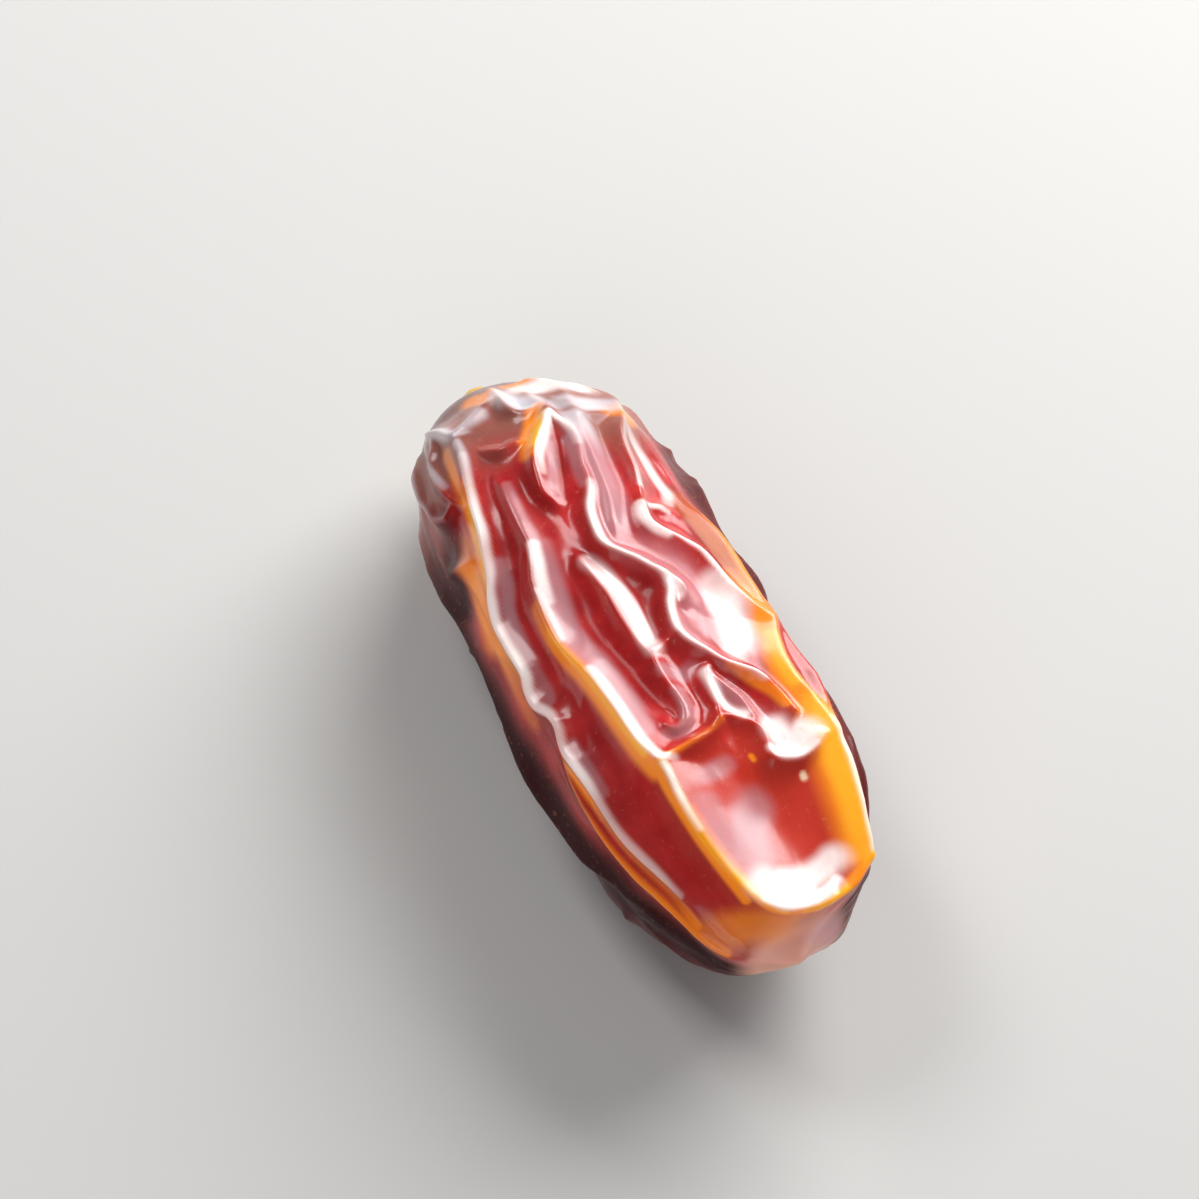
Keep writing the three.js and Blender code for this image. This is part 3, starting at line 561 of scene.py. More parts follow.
# %% Painted strokes over the skin: half width, then (mm along, degrees, strength)
AMBER_STROKES = [
    (0.8, [(14.6, -43.5, 0.7), (16.3, -46, 1), (18, -48, 1), (20, -52, 1), (21.7, -56, 1),
           (22.8, -61, 1), (24, -65, 1), (26, -66, 0.95), (27.5, -66, 0.7), (29.5, -66.5, 0.5)]),
    (1.6, [(18.2, -57, 0.5), (19.4, -62, 0.95), (21, -66, 1), (22.4, -69, 1), (23.6, -71, 0.9)]),
    (1.0, [(23.6, -69, 1), (25, -71, 1), (26.4, -73, 0.8), (28, -74, 0.5), (30, -75, 0.4)]),
    (0.45, [(33.8, -62, 0.3), (35.5, -61.5, 0.9), (37.5, -61, 0.9), (40, -62, 0.6), (43, -63, 0.5),
            (46, -64, 0.5), (48.5, -67, 0.8)]),
    (0.7, [(25.6, -38.5, 0.6), (28, -39.5, 0.95), (29.5, -38, 1), (31, -35.5, 1), (32.5, -33.5, 1),
           (34, -32.5, 1), (36, -31.5, 1), (38, -30.5, 1), (39.8, -28.5, 1)]),
    (0.36, [(39.8, -27.5, 1), (41.5, -28.8, 1), (44, -29.3, 1), (46, -29.3, 1), (48, -28.8, 1),
            (49.6, -27.5, 1)]),
    (0.36, [(43, -25.5, 0.4), (47, -25, 0.9), (49.3, -21.5, 1), (50.8, -14, 1),
           (51.5, 5, 0.95), (51.5, 25, 0.95), (50.8, 45, 1), (49, 58, 1)]),
    (1.5, [(49.6, -66, 0.5), (50.8, -48, 0.7), (51.4, -34, 0.7), (52.2, -18, 0.7), (52.6, 0, 0.6),
           (52.8, 14, 0.4)]),
    (0.4, [(36, -67, 0.5), (40, -70.5, 0.8), (44, -71.5, 0.85), (48, -72, 0.8), (51, -70, 0.8)]),
    (0.4, [(22.5, 53, 0.6), (24, 53.5, 0.9), (26, 53, 0.9), (28, 51.5, 0.9), (29.7, 50, 0.9)]),
    (0.8, [(27.5, 46, 0.5), (29.5, 46.5, 0.9), (31.5, 45.5, 1), (33.3, 43, 1), (35, 41, 1),
           (36.5, 41, 1), (38, 43, 1)]),
    (1.4, [(38.6, 45, 0.9), (41, 45.5, 0.9), (43, 47.5, 0.9), (45, 49, 0.9), (47, 51.5, 0.9),
           (48.7, 54, 0.9)]),
    (0.9, [(7.2, -16, 0.8), (8.2, -10, 0.95), (8.8, -5, 0.7)]),
    (0.6, [(7.2, 8, 0.8), (7.6, 16, 0.95), (8.2, 22, 0.6)]),
    (0.65, [(11.6, 5, 0.8), (12.6, -1, 1), (13.8, -7, 1), (15.2, -11, 0.8)]),
    (0.8, [(10.6, 56, 0.8), (12, 54, 0.9), (13.2, 49, 0.9), (13.4, 43, 0.9), (12.8, 37, 0.6)]),
    (0.5, [(11, -44, 0.6), (13, -45.5, 0.8), (14.4, -46, 0.6)]),
    (0.3, [(35, 18, 0.4), (35.8, 23, 0.7), (36.6, 28, 0.8), (37.4, 31.5, 0.8), (38.5, 34, 0.9)]),
    (0.22, [(39.4, -23, 1), (39.3, -17, 0.7), (39, -8, 0.45), (38.6, 1, 0.4), (38.3, 5, 0.4)]),
    (0.2, [(41, 11.5, 0.9), (41.3, 12, 0.9)]),
    (0.9, [(20.5, 48, 0.2), (23, 48.5, 0.35), (26, 49.5, 0.35), (28, 49, 0.2)]),
]
GOLD_STROKES = [
    (0.4, [(12.9, 3, 0.9), (13.9, -3, 1), (14.8, -7, 0.7)]),
    (0.85, [(38.8, 46, 0.6), (40.4, 46, 0.75), (42.7, 47.5, 0.75), (45.2, 50, 0.75),
            (47.2, 52.5, 0.7), (48.9, 56, 0.5)]),
    (0.35, [(33, 44, 0.4), (35, 41.5, 0.5), (37, 41.5, 0.5)]),
    (0.25, [(39.6, -24, 0.9), (41, -25, 0.6), (43, -26.5, 0.6), (45, -27, 0.6),
            (47, -26.5, 0.6), (49, -23, 0.6), (50.3, -16, 0.6), (51.1, -8, 0.4)]),
    (0.35, [(27.5, -38.5, 0.4), (28.5, -37.5, 0.5), (31, -33.5, 0.5), (33, -31.5, 0.6),
            (36, -29.8, 0.6), (38.5, -28, 0.8)]),
    (0.45, [(16.3, -44, 0.8), (18, -45.5, 0.9), (20, -49, 0.9), (22, -55, 0.9), (23.6, -62.5, 0.9),
            (26, -63, 0.8), (28, -62, 0.5)]),
    (0.3, [(51.5, 10, 0.4), (51.6, 26, 0.6), (50.9, 44, 0.7)]),
    (0.22, [(43.1, 33, 0.8), (43.3, 33.5, 0.8)]),
]
# These strokes paint the flesh lighter salmon, a painted glow of light shining through it.
SALMON_GLOW_STROKES = [
    (6.0, [(43.5, 8, 0.8), (46.5, 16, 0.9)]),
    (1.6, [(40.5, -4, 0.5), (40.5, 6, 0.5)]),
]
# Bloom strokes paint a mauve sheen, partly a pale bloom on the skin and partly painted reflection.
BLOOM_AND_SHEEN_STROKES = [
    (1.1, [(9.2, -3, 0.9), (10, 0, 1), (10.5, 4, 1), (10.6, 8, 0.8)]),
    (0.9, [(11.4, 16, 0.6), (12, 26, 0.9), (12, 36, 0.9), (12.6, 42, 0.6)]),
    (0.55, [(8, -48, 0.8), (9.2, -41, 0.9), (10.3, -37, 0.8), (10.3, -29, 0.7), (10, -19, 0.6)]),
    (0.22, [(9, -71.5, 0.5), (11, -73.5, 0.6), (12.4, -72, 0.6), (14, -68, 0.6), (14.9, -61, 0.5)]),
    (0.25, [(9.7, -50, 0.4), (10.6, -55, 0.6), (12, -54, 0.6), (13.3, -52, 0.5)]),
    (0.3, [(11.2, -35.5, 0.7), (12.8, -36, 0.8), (14.7, -38.5, 0.7)]),
    (1.1, [(13.6, 17, 0.8), (15.5, 15, 1), (17.5, 14, 1), (19.3, 12.5, 1), (20.8, 10.5, 1),
           (22.3, 7, 0.9), (23.3, 4, 0.6)]),
    (0.3, [(14.8, 0, 0.7), (16.2, -3.5, 0.9), (17.6, -7, 0.8), (18.6, -9, 0.6)]),
    (0.5, [(15, 9.5, 0.9), (16.4, 7.5, 0.8), (17.6, 5.5, 0.7), (18.8, 4.5, 0.6)]),
    (0.4, [(16.6, -25.5, 0.5), (18, -25.8, 0.7), (19.8, -26, 0.7), (21.2, -26, 0.6)]),
    (0.7, [(21.8, -24.5, 0.6), (23.5, -26.5, 0.8), (25.5, -29, 0.9), (27.5, -31.5, 1),
           (29, -31, 0.9), (31, -27.5, 0.9), (33, -26, 0.8), (35, -25, 0.8), (37, -24, 0.7)]),
    (0.5, [(21, -43.5, 0.7), (22.5, -46, 0.9), (24, -52, 0.9), (26, -53.5, 0.8), (29, -55, 0.6),
           (31, -55, 0.6)]),
    (0.4, [(34.5, -54, 0.4), (36.5, -53, 0.7), (38.5, -53.5, 0.5)]),
    (1.7, [(24.8, 12, 0.5), (25.8, 18, 0.6), (27.5, 23, 0.7), (29.5, 21, 0.7), (31.5, 16, 0.6)]),
    (0.6, [(33.8, -6, 0.8), (34.4, -1, 0.8), (34.2, 4, 0.5)]),
    (0.5, [(35.4, -5.5, 0.7), (36.6, -5.5, 0.8), (37.7, -8.5, 0.8), (38.1, -13, 0.7),
           (37.9, -18, 0.6)]),
    (0.8, [(36.4, 14, 0.8), (37.4, 18, 0.8), (38.4, 22, 0.6)]),
    (0.7, [(41.3, -14, 0.5), (41.2, -8, 0.8), (41, -1, 0.5)]),
    (1.5, [(44.2, 3, 0.7), (45, -4, 1), (46, -9, 1), (47, -12, 0.9)]),
    (0.8, [(43, -18, 0.5), (44.5, -19, 0.7), (46, -19, 0.7)]),
    (1.2, [(53.2, 22, 0.4), (53.6, 50, 0.8), (53.2, 90, 0.9)]),
]
# These strokes paint highlights: white lines along crests and white patches on facets that face the
# light.
HIGHLIGHT_STROKES = [
    (0.9, [(8.4, 10, 0.8), (8.8, 17, 1), (9.2, 25, 1), (9.6, 33, 1), (10, 40, 0.6)]),
    (0.25, [(12.9, 5.5, 0.9), (13.9, 2, 1), (14.8, -3, 1), (15.8, -7, 0.9), (17, -9.5, 0.5)]),
    (0.3, [(13, 7.5, 1), (13.8, 10, 1), (14.7, 11.5, 0.6), (15.6, 11, 0.4)]),
    (0.33, [(19, 6, 0.5), (19.8, 4, 0.9), (21, 0, 1), (22.5, -2, 1), (23.7, -1.8, 1),
            (24.7, 3, 1), (25.5, 7, 1), (26.4, 10, 1), (27.3, 12.7, 1), (28.6, 12, 1),
            (29.6, 9, 1), (30.7, 7, 1), (31.7, 6.5, 1), (32.7, 9, 1), (33.6, 13, 1),
            (34.4, 17, 1), (35.1, 22.5, 1), (35.7, 27.5, 0.9), (36.3, 30.5, 0.6)]),
    (0.5, [(27.4, 14.5, 0.6), (28.2, 15, 0.9), (28.9, 14, 0.6)]),
    (0.5, [(14.5, 42, 0.4), (16.5, 43, 0.7), (18.5, 43, 0.8), (20, 43.5, 0.8), (20.8, 41, 0.5)]),
    (0.25, [(14, 41, 0.4), (16.2, 32, 0.4), (18.4, 29, 0.4), (20, 26, 0.7)]),
    (0.4, [(21.6, 20, 0.8), (22.6, 19.5, 1), (23.5, 21.5, 1), (24.2, 25, 0.9)]),
    (0.2, [(21.7, 24, 0.9), (21.7, 30, 0.9), (22, 35, 0.7)]),
    (0.22, [(24.2, 26, 0.9), (25, 30.5, 1), (25.9, 35, 1), (27.2, 38, 1), (28.8, 40.5, 1)]),
    (1.1, [(28.2, 36, 0.7), (29.6, 36, 1), (31, 34.5, 1), (32.5, 31.5, 1),
            (33.4, 29, 0.7)]),
    (0.65, [(24.3, -11.5, 0.5), (25.4, -8.5, 0.9), (27, -6.5, 1), (28.6, -6, 1), (30.2, -6, 1),
            (31.4, -6.3, 0.9), (32.2, -6, 0.6)]),
    (0.4, [(21.5, -27, 0.8), (22.8, -28.6, 1), (24, -31, 0.9), (25.5, -33, 0.6)]),
    (0.22, [(24.5, -33.5, 0.9), (26, -34.5, 0.8), (28.5, -35, 0.4)]),
    (0.28, [(31.5, -30.3, 0.4), (33, -28.8, 0.8), (35, -27.6, 1), (37, -26.8, 1),
            (38.4, -25.5, 1), (39.3, -23.5, 1), (39.6, -20, 0.5)]),
    (0.33, [(12.5, -36.5, 0.5), (14.7, -39, 0.6), (17, -41, 1), (18.6, -42, 1), (19.8, -44.5, 0.7),
            (21.4, -48, 0.9), (22.6, -53, 1), (24, -57.5, 1), (25.5, -58, 0.9), (27, -57.3, 1),
            (28.4, -57.3, 1), (29.4, -60, 0.9), (30.6, -60.3, 0.8), (32, -55, 0.8),
            (33.2, -54.5, 0.6), (34.5, -57, 0.7), (36, -56, 1), (37.5, -56, 0.9), (39, -57, 0.6),
            (41, -58.3, 0.6), (43, -58.6, 0.6), (45, -58.6, 0.6), (46.5, -58.8, 0.4)]),
    (0.2, [(39.8, -24, 0.9), (40.8, -24.7, 0.8), (41.8, -25.7, 0.8), (43, -26.2, 0.6),
           (44.5, -26.4, 0.4)]),
    (0.45, [(35, 8, 0.8), (36, 8.5, 1), (37, 9, 1), (37.8, 12, 1), (38.3, 15.5, 0.8)]),
    (1.0, [(39.7, 26, 1), (40.5, 28, 1), (40.9, 32, 1), (40.5, 37, 0.9)]),
    (0.4, [(41, 21, 1), (41.6, 25, 1), (41.8, 32, 1), (41.4, 38, 0.8)]),
    (1.1, [(49, -13, 0.6), (49.4, -9, 0.9), (49.6, -2, 1), (49.8, 9, 1), (49.7, 21, 1),
           (49.4, 31, 1), (49, 37, 0.9)]),
    (0.4, [(49.9, -16, 0.9), (50.7, -7, 1), (51, 6, 1), (51, 19, 1), (50.8, 30, 1),
           (50.3, 39, 0.9)]),
    (0.25, [(40, 48.5, 0.5), (42, 50.5, 0.7), (44.5, 52.5, 0.7), (47, 55.5, 0.7), (48.5, 58, 0.5)]),
    (0.22, [(43.1, 33, 0.6), (43.3, 33.5, 0.6)]),
]
SHADE_STROKES = [
    (2.4, [(13.5, -68, 0.5), (16, -76, 0.8), (19, -88, 1)]),
    (1.0, [(20, 48, 0.3), (23, 48.5, 0.4), (26, 49.5, 0.4), (28, 49.5, 0.3)]),
]
# Where the wax is thin the skin has a satin gloss, without clear highlights.
SATIN_STROKES = [
    (1.1, [(42.6, -19, 0.8), (42.9, -12, 1), (42.7, -4, 1), (42.2, 4, 0.9)]),
    (1.3, [(43.4, -23, 0.9), (45.5, -23.5, 0.9), (47, -22, 0.6)]),
    (0.8, [(33, -25, 0.4), (35, -24, 0.6), (37, -23, 0.6), (38.5, -21, 0.5)]),
    (1.5, [(40.5, -34, 0.8), (44, -36, 1), (48, -36, 1), (50, -34, 0.8)]),
    (1.2, [(23.4, 17, 0.6), (24.8, 22, 1), (26, 27, 1), (27.4, 32, 0.9)]),
    (0.9, [(25, -20, 0.7), (28, -20.5, 0.9), (31, -20, 0.9), (34, -19, 0.9), (36, -18.5, 0.8)]),
    (1.3, [(14, 17, 0.7), (16, 15, 0.9), (18.5, 14, 0.9), (20.8, 12, 0.8)]),
    (0.8, [(15.4, 5, 0.8), (17, 2.5, 1), (18.5, 1, 1), (19.3, -1, 0.8)]),
    (1.4, [(13.5, 30, 0.8), (15.5, 25, 0.9), (17.5, 21, 0.8)]),
]
# Where these strokes lie the wax coat is thin, and the skin is painted darker, as shade.
DULL_AND_SHADE_STROKES = [
    (1.0, [(20, 47, 0.5), (22, 46, 0.9), (24, 46, 1), (26, 47.5, 1), (28, 48, 0.6)]),
    (0.6, [(26.4, 2, 0.7), (28, 4, 0.9), (30, 1.5, 0.9), (31.2, 0, 0.8)]),
    (0.8, [(14.6, -22, 0.6), (18, -20, 0.6), (21, -20, 0.5)]),
    (0.5, [(34.6, 38, 0.6), (36, 36, 0.8), (37.4, 37, 0.6)]),
    (0.6, [(14.8, 3, 0.6), (16, 0.5, 1), (17.5, -2.5, 1), (18.8, -5, 0.6)]),
    (2.0, [(14, -66, 0.8), (16, -72, 1), (19, -84, 1)]),
]
# Shares of the half width where a stroke begins to fade and where it ends.
STROKE_FADE, STROKE_END = 0.35, 1.35


def painted(strokes):
    total = np.zeros(ALONG.shape)
    for width, path in strokes:
        nearest, strength = near_curve(ALONG, AROUND, path)
        fade = smooth(STROKE_FADE * width, STROKE_END * width, nearest)
        total = np.maximum(total, strength * (1 - fade))
    return np.clip(total, 0, 1)


stroke_lists = (AMBER_STROKES, GOLD_STROKES, SALMON_GLOW_STROKES, BLOOM_AND_SHEEN_STROKES, HIGHLIGHT_STROKES,
                SHADE_STROKES, SATIN_STROKES, DULL_AND_SHADE_STROKES)
print(sum(len(strokes) for strokes in stroke_lists), "strokes")

# %% [markdown]
# Some places are too wide for strokes and have a formula instead. The calyx end is brown up
# to a ragged border, and a collar round the calyx is darker still. The two flanks are painted
# dark, as shade, and their wax coat is thin. The blunt tip is paler, with painted light on it.

# %% Wide places: calyx end, collar, flanks and tip
# A ridge counts as a crest from this height on, and fully so this much higher, in mm.
CREST_FROM, CREST_SPAN = 0.35, 0.8
# The brown end fades from the first to the second place, mm along, and on the sides both move.
BROWN_FADE, BROWN_END, BROWN_FADE_SIDE, BROWN_END_SIDE = 11.8, 15.0, -6.0, 4.0
SIDE_FROM, SIDE_TO = 55.0, 95.0
RAGGED_DEPTH, RAGGED_LENGTH, RAGGED_DEGREES, RAGGED_SEED = 1.2, 3.0, 24, 21
# On the right it reaches further along in a broad tongue.
TONGUE_LENGTH, TONGUE_AT, TONGUE_HALF_ANGLE = 3.5, 28.0, 20.0
# Stretches in mm along where the collar fades out, and where the pale lit tip and the flank shade
# fade in.
COLLAR_EDGE, TIP_EDGE, FLANK_SHADE_START = (5.5, 9.0), (51.2, 53.6), (7.0, 17.0)
# Painted flank shade: degrees where it darkens, its strength, the share that lightens again, and
# where.
LEFT_FLANK_SHADE = ((78, 94), 1.0, 0.35, (100, 135))
RIGHT_FLANK_SHADE = ((56, 66), 0.8, 0.19, (76, 110))
DULL_AND_SHADE_STRENGTH, SATIN_STRENGTH = 0.8, 0.95


def painted_flank_shade(turn, edge, strength, lighter, lighter_edge):
    return strength * smooth(*edge, turn) * (1 - lighter * smooth(*lighter_edge, turn))


CREST = np.clip((HEIGHT - CREST_FROM) / CREST_SPAN, 0, 1) * WRINKLED
AMBER, GOLD = painted(AMBER_STROKES), painted(GOLD_STROKES)
SALMON_GLOW, BLOOM_AND_SHEEN, PAINTED_HIGHLIGHT = painted(SALMON_GLOW_STROKES), painted(BLOOM_AND_SHEEN_STROKES), painted(HIGHLIGHT_STROKES)
ragged = lattice_noise(ALONG / RAGGED_LENGTH, AROUND / RAGGED_DEGREES, 360 // RAGGED_DEGREES,
                       RAGGED_SEED)
ragged_along = ALONG + RAGGED_DEPTH * ragged
ragged_along -= TONGUE_LENGTH * np.exp(-(turn_between(AROUND, TONGUE_AT) / TONGUE_HALF_ANGLE) ** 2)
turn_round = turn_between(AROUND, 0)
to_the_side = smooth(SIDE_FROM, SIDE_TO, np.abs(turn_round))
calyx_end = 1 - smooth(BROWN_FADE + BROWN_FADE_SIDE * to_the_side,
                       BROWN_END + BROWN_END_SIDE * to_the_side, ragged_along)
# The flanks are painted dark, as shade.
flank_shade = painted_flank_shade(-turn_round, *LEFT_FLANK_SHADE) + painted_flank_shade(turn_round, *RIGHT_FLANK_SHADE)
flank_shade = np.maximum(flank_shade, painted(SHADE_STROKES)) * smooth(*FLANK_SHADE_START, ALONG)
dull_and_shade = np.maximum(flank_shade, DULL_AND_SHADE_STRENGTH * painted(DULL_AND_SHADE_STROKES))
satin = np.maximum(dull_and_shade, SATIN_STRENGTH * painted(SATIN_STROKES))
skin_values = {
    "crest": CREST, "amber": AMBER, "gold": GOLD, "salmon_glow": SALMON_GLOW, "bloom_and_sheen": BLOOM_AND_SHEEN, "painted_highlight": PAINTED_HIGHLIGHT,
    "calyx_end": calyx_end, "flank_shade": flank_shade, "dull_and_shade": dull_and_shade, "satin": satin,
    "pale_lit_tip": smooth(*TIP_EDGE, ALONG), "collar": 1 - smooth(*COLLAR_EDGE, ALONG),
}
for name, grid in skin_values.items():
    keep_values(date_skin, name, grid)
print("the skin keeps", ", ".join(skin_values))

# %% [markdown]
# Step 4. Materials are built from nodes. One helper adds a node, sets its values and joins
# its inputs, and one turns the hex colours that painters use into the linear colours that a
# renderer needs. Most of the colours lie over each other like films of paint, so a third
# helper lays one colour over another where the mesh keeps a value for it.

# %% Helpers for every material
SRGB_KNEE, SRGB_SLOPE, SRGB_OFFSET, SRGB_POWER = 0.04045, 12.92, 0.055, 2.4


def linear(hex_colour):
    """sRGB hex such as "8E1A1C" to linear red, green, blue and full alpha."""
    colour = []
    for i in (0, 2, 4):
        part = int(hex_colour[i:i + 2], 16) / 255
        bright = ((part + SRGB_OFFSET) / (1 + SRGB_OFFSET)) ** SRGB_POWER
        colour.append(part / SRGB_SLOPE if part <= SRGB_KNEE else bright)
    return (*colour, 1.0)


def add_node(tree, kind, settings=None, **inputs):
    """Adds a node. An input is named, or numbered as _0, and its value may be another
    node's output socket. A Mix node's colours are its inputs 6 and 7, and its output 2."""
    node = tree.nodes.new(kind)
    for key, value in (settings or {}).items():
        setattr(node, key, value)
    for key, value in inputs.items():
        numbered = key[1:].isdigit()
        socket = node.inputs[int(key[1:]) if numbered else key.replace("_", " ")]
        if isinstance(value, bpy.types.NodeSocket):
            tree.links.new(value, socket)
        else:
            socket.default_value = value
    return node


def new_material(name):
    material = bpy.data.materials.new(name)
    material.use_nodes = True
    tree = material.node_tree
    tree.nodes.clear()
    output = tree.nodes.new("ShaderNodeOutputMaterial")
    return material, tree, output


def kept_value(tree, name, strength):
    """The value that the mesh keeps under that name, times a strength."""
    value = add_node(tree, "ShaderNodeAttribute", {"attribute_name": name})
    return add_node(tree, "ShaderNodeMath", {"operation": "MULTIPLY"},
                    _0=value.outputs["Fac"], _1=strength).outputs[0]


def lay_over(tree, under, name, strength, over):
    """One colour laid over another where the mesh keeps a value, at most so strongly."""
    return add_node(tree, "ShaderNodeMix", {"data_type": "RGBA"},
                    _0=kept_value(tree, name, strength), _6=under, _7=over).outputs[2]


print("hex 808080 is", round(linear("808080")[0], 3), "in linear light")

# %% [markdown]
# The skin is a waxy, semi-dried fruit skin. Its refractive index is about 1.45, like other
# plant waxes. Sugar syrup makes the flesh translucent: red light travels a millimetre and a
# half in it, and blue light a tenth of that. A thin clear coat is the wax that has melted
# smooth. The eye gets a deep red body with sharp highlights lying on top of it.

# %% Material: waxy date skin
SKIN_IOR, COAT_IOR = 1.45, 1.5
# Mottling of the flesh has patches about 3 mm across, and flecks in the film about 0.4 mm.
MOTTLE_SIZE, FLECK_SIZE = 3 * MM, 0.4 * MM
DARK_FLESH, RED_FLESH, FLECK_COLOUR = "AA1518", "CC2828", "E0906A"
# Films laid over the flesh, one on the other: where, how strongly, and the colour.
SKIN_FILMS = (
    # a painted glow of light through the flesh
    ("salmon_glow", 0.8, "CC3A22"),
    ("crest", 0.4, "B5371C"),
    # painted shade, and thin wax, where the skin is dull
    ("dull_and_shade", 0.5, "5E1210"),
    # painted shade on the flanks
    ("flank_shade", 0.92, "22080D"),
    ("calyx_end", 0.92, "94584C"),
    ("collar", 0.8, "4E1E1A"),
    # the pale tip: its own paler colour, with painted light on it
    ("pale_lit_tip", 0.8, "E0A692"),
    ("amber", 0.95, "EF860F"),
    ("gold", 0.95, "F6B422"),
)
# The bloom strokes paint a mauve sheen, greyer at the calyx end: partly pale bloom, partly
# painted reflection. The whitest layer is painted highlight.
MAUVE_BLOOM_SHEEN, GREY_BLOOM_SHEEN, HIGHLIGHT_WHITE = "C08C92", "DAD8DE", "FAECE8"
BLOOM_AND_SHEEN_STRENGTH, HIGHLIGHT_STRENGTH = 0.82, 0.92
# Light that enters a fold on its bright side leaves on the other, so the folds glow a little.
# The emission paints this glow on the amber folds, the painted highlights and the pale tip.
GLOWING, GLOW = (("amber", 1.0), ("painted_highlight", 0.7), ("pale_lit_tip", 0.85)), 0.26
skin_material, tree, output = new_material("waxy_date_skin")
place = add_node(tree, "ShaderNodeTexCoord").outputs["Object"]
mottle = add_node(tree, "ShaderNodeTexNoise", Vector=place, Scale=1 / MOTTLE_SIZE, Detail=3.0,
                  Roughness=0.55).outputs[0]
flecks = add_node(tree, "ShaderNodeTexNoise", Vector=place, Scale=1 / FLECK_SIZE, Detail=2.0,
                  Roughness=0.6).outputs[0]
red_amount = add_node(tree, "ShaderNodeMapRange", Value=mottle, From_Min=0.35,
                      From_Max=0.68).outputs[0]
flesh = add_node(tree, "ShaderNodeMix", {"data_type": "RGBA"}, _0=red_amount,
                 _6=linear(DARK_FLESH), _7=linear(RED_FLESH)).outputs[2]
for name, strength, colour in SKIN_FILMS:
    flesh = lay_over(tree, flesh, name, strength, linear(colour))
mauve = lay_over(tree, linear(MAUVE_BLOOM_SHEEN), "calyx_end", 1.0, linear(GREY_BLOOM_SHEEN))
flesh = lay_over(tree, flesh, "bloom_and_sheen", BLOOM_AND_SHEEN_STRENGTH, mauve)
# The painted highlights lie on top, nearly white.
flesh = lay_over(tree, flesh, "painted_highlight", HIGHLIGHT_STRENGTH, linear(HIGHLIGHT_WHITE))
glow = 0.0
for name, share_lit in GLOWING:
    glow = add_node(tree, "ShaderNodeMath", {"operation": "MAXIMUM"}, _0=glow,
                    _1=kept_value(tree, name, share_lit * GLOW)).outputs[0]
fleck_amount = add_node(tree, "ShaderNodeMapRange", Value=flecks, From_Min=0.62, From_Max=0.8,
                        To_Max=0.25).outputs[0]
flesh = add_node(tree, "ShaderNodeMix", {"data_type": "RGBA"}, _0=fleck_amount,
                 _6=flesh, _7=linear(FLECK_COLOUR)).outputs[2]
roughness = add_node(tree, "ShaderNodeMapRange", Value=mottle, From_Min=0.3, From_Max=0.7,
                     To_Min=0.34, To_Max=0.46).outputs[0]
bump = add_node(tree, "ShaderNodeBump", Height=flecks, Strength=0.12, Distance=0.1 * MM).outputs[0]
# The wax coat is thick where it has melted smooth, and thin on satin and dull skin.
wax = add_node(tree, "ShaderNodeMapRange", Value=kept_value(tree, "satin", 1.0), To_Min=0.9,
               To_Max=0.12).outputs[0]
shader = add_node(tree, "ShaderNodeBsdfPrincipled", Base_Color=flesh, Roughness=roughness,
                  IOR=SKIN_IOR, Specular_IOR_Level=0.12, Normal=bump, Subsurface_Weight=0.3,
                  Subsurface_Radius=(1.0, 0.28, 0.1), Subsurface_Scale=1.6 * MM,
                  Coat_Weight=wax, Coat_Roughness=0.2, Coat_IOR=COAT_IOR,
                  Emission_Color=flesh, Emission_Strength=glow)
tree.links.new(shader.outputs[0], output.inputs[0])
date_skin.data.materials.append(skin_material)
print("material", skin_material.name)

# %% [markdown]
# Step 5. The calyx is a dry, woody cap that held the date to its strand. It is a lobed disc
# with an off-centre scar where the strand broke off. The solid model has its form, so the
# same section is drawn here with many more points, and gets creases.

# %% The calyx's form
CALYX_RADIUS, CALYX_LIFT = 3.9, -0.62
CALYX_SCAR_OFFSET = (0.75, 0.5)
# Lobes of the rim: share of the radius, how many, phase. Lumps: mm high, how many, phase, swirl.
CALYX_LOBES = ((0.055, 3, 0.4), (0.045, 5, 2.2), (0.02, 8, 1.1))
CALYX_LUMPS = ((0.2, 3, 1.9, 5.0), (0.14, 5, 0.6, 9.0), (0.08, 9, 2.7, 13.0))
# From the middle of the top to the middle of the underside: share of the radius, mm high,
# and share of the lumps.
CALYX_SECTION = [
    (0.0, 2.36, 0), (0.05, 2.34, 0), (0.09, 2.22, 0), (0.12, 1.98, 0), (0.17, 1.93, 0),
    (0.22, 2.12, 0.1), (0.28, 2.2, 0.3), (0.33, 2.08, 0.4), (0.38, 2.02, 0.6),
    (0.46, 2.1, 0.9), (0.56, 2.02, 1), (0.67, 1.84, 1), (0.78, 1.56, 1), (0.87, 1.18, 0.8),
    (0.94, 0.76, 0.5), (0.99, 0.3, 0.2), (1.0, -0.15, 0), (0.97, -0.5, 0), (0.9, -0.58, 0),
    (0.62, -0.24, 0), (0.3, -0.06, 0), (0.0, 0.0, 0),
]
CALYX_STEPS, CALYX_COLUMNS = 5, 180
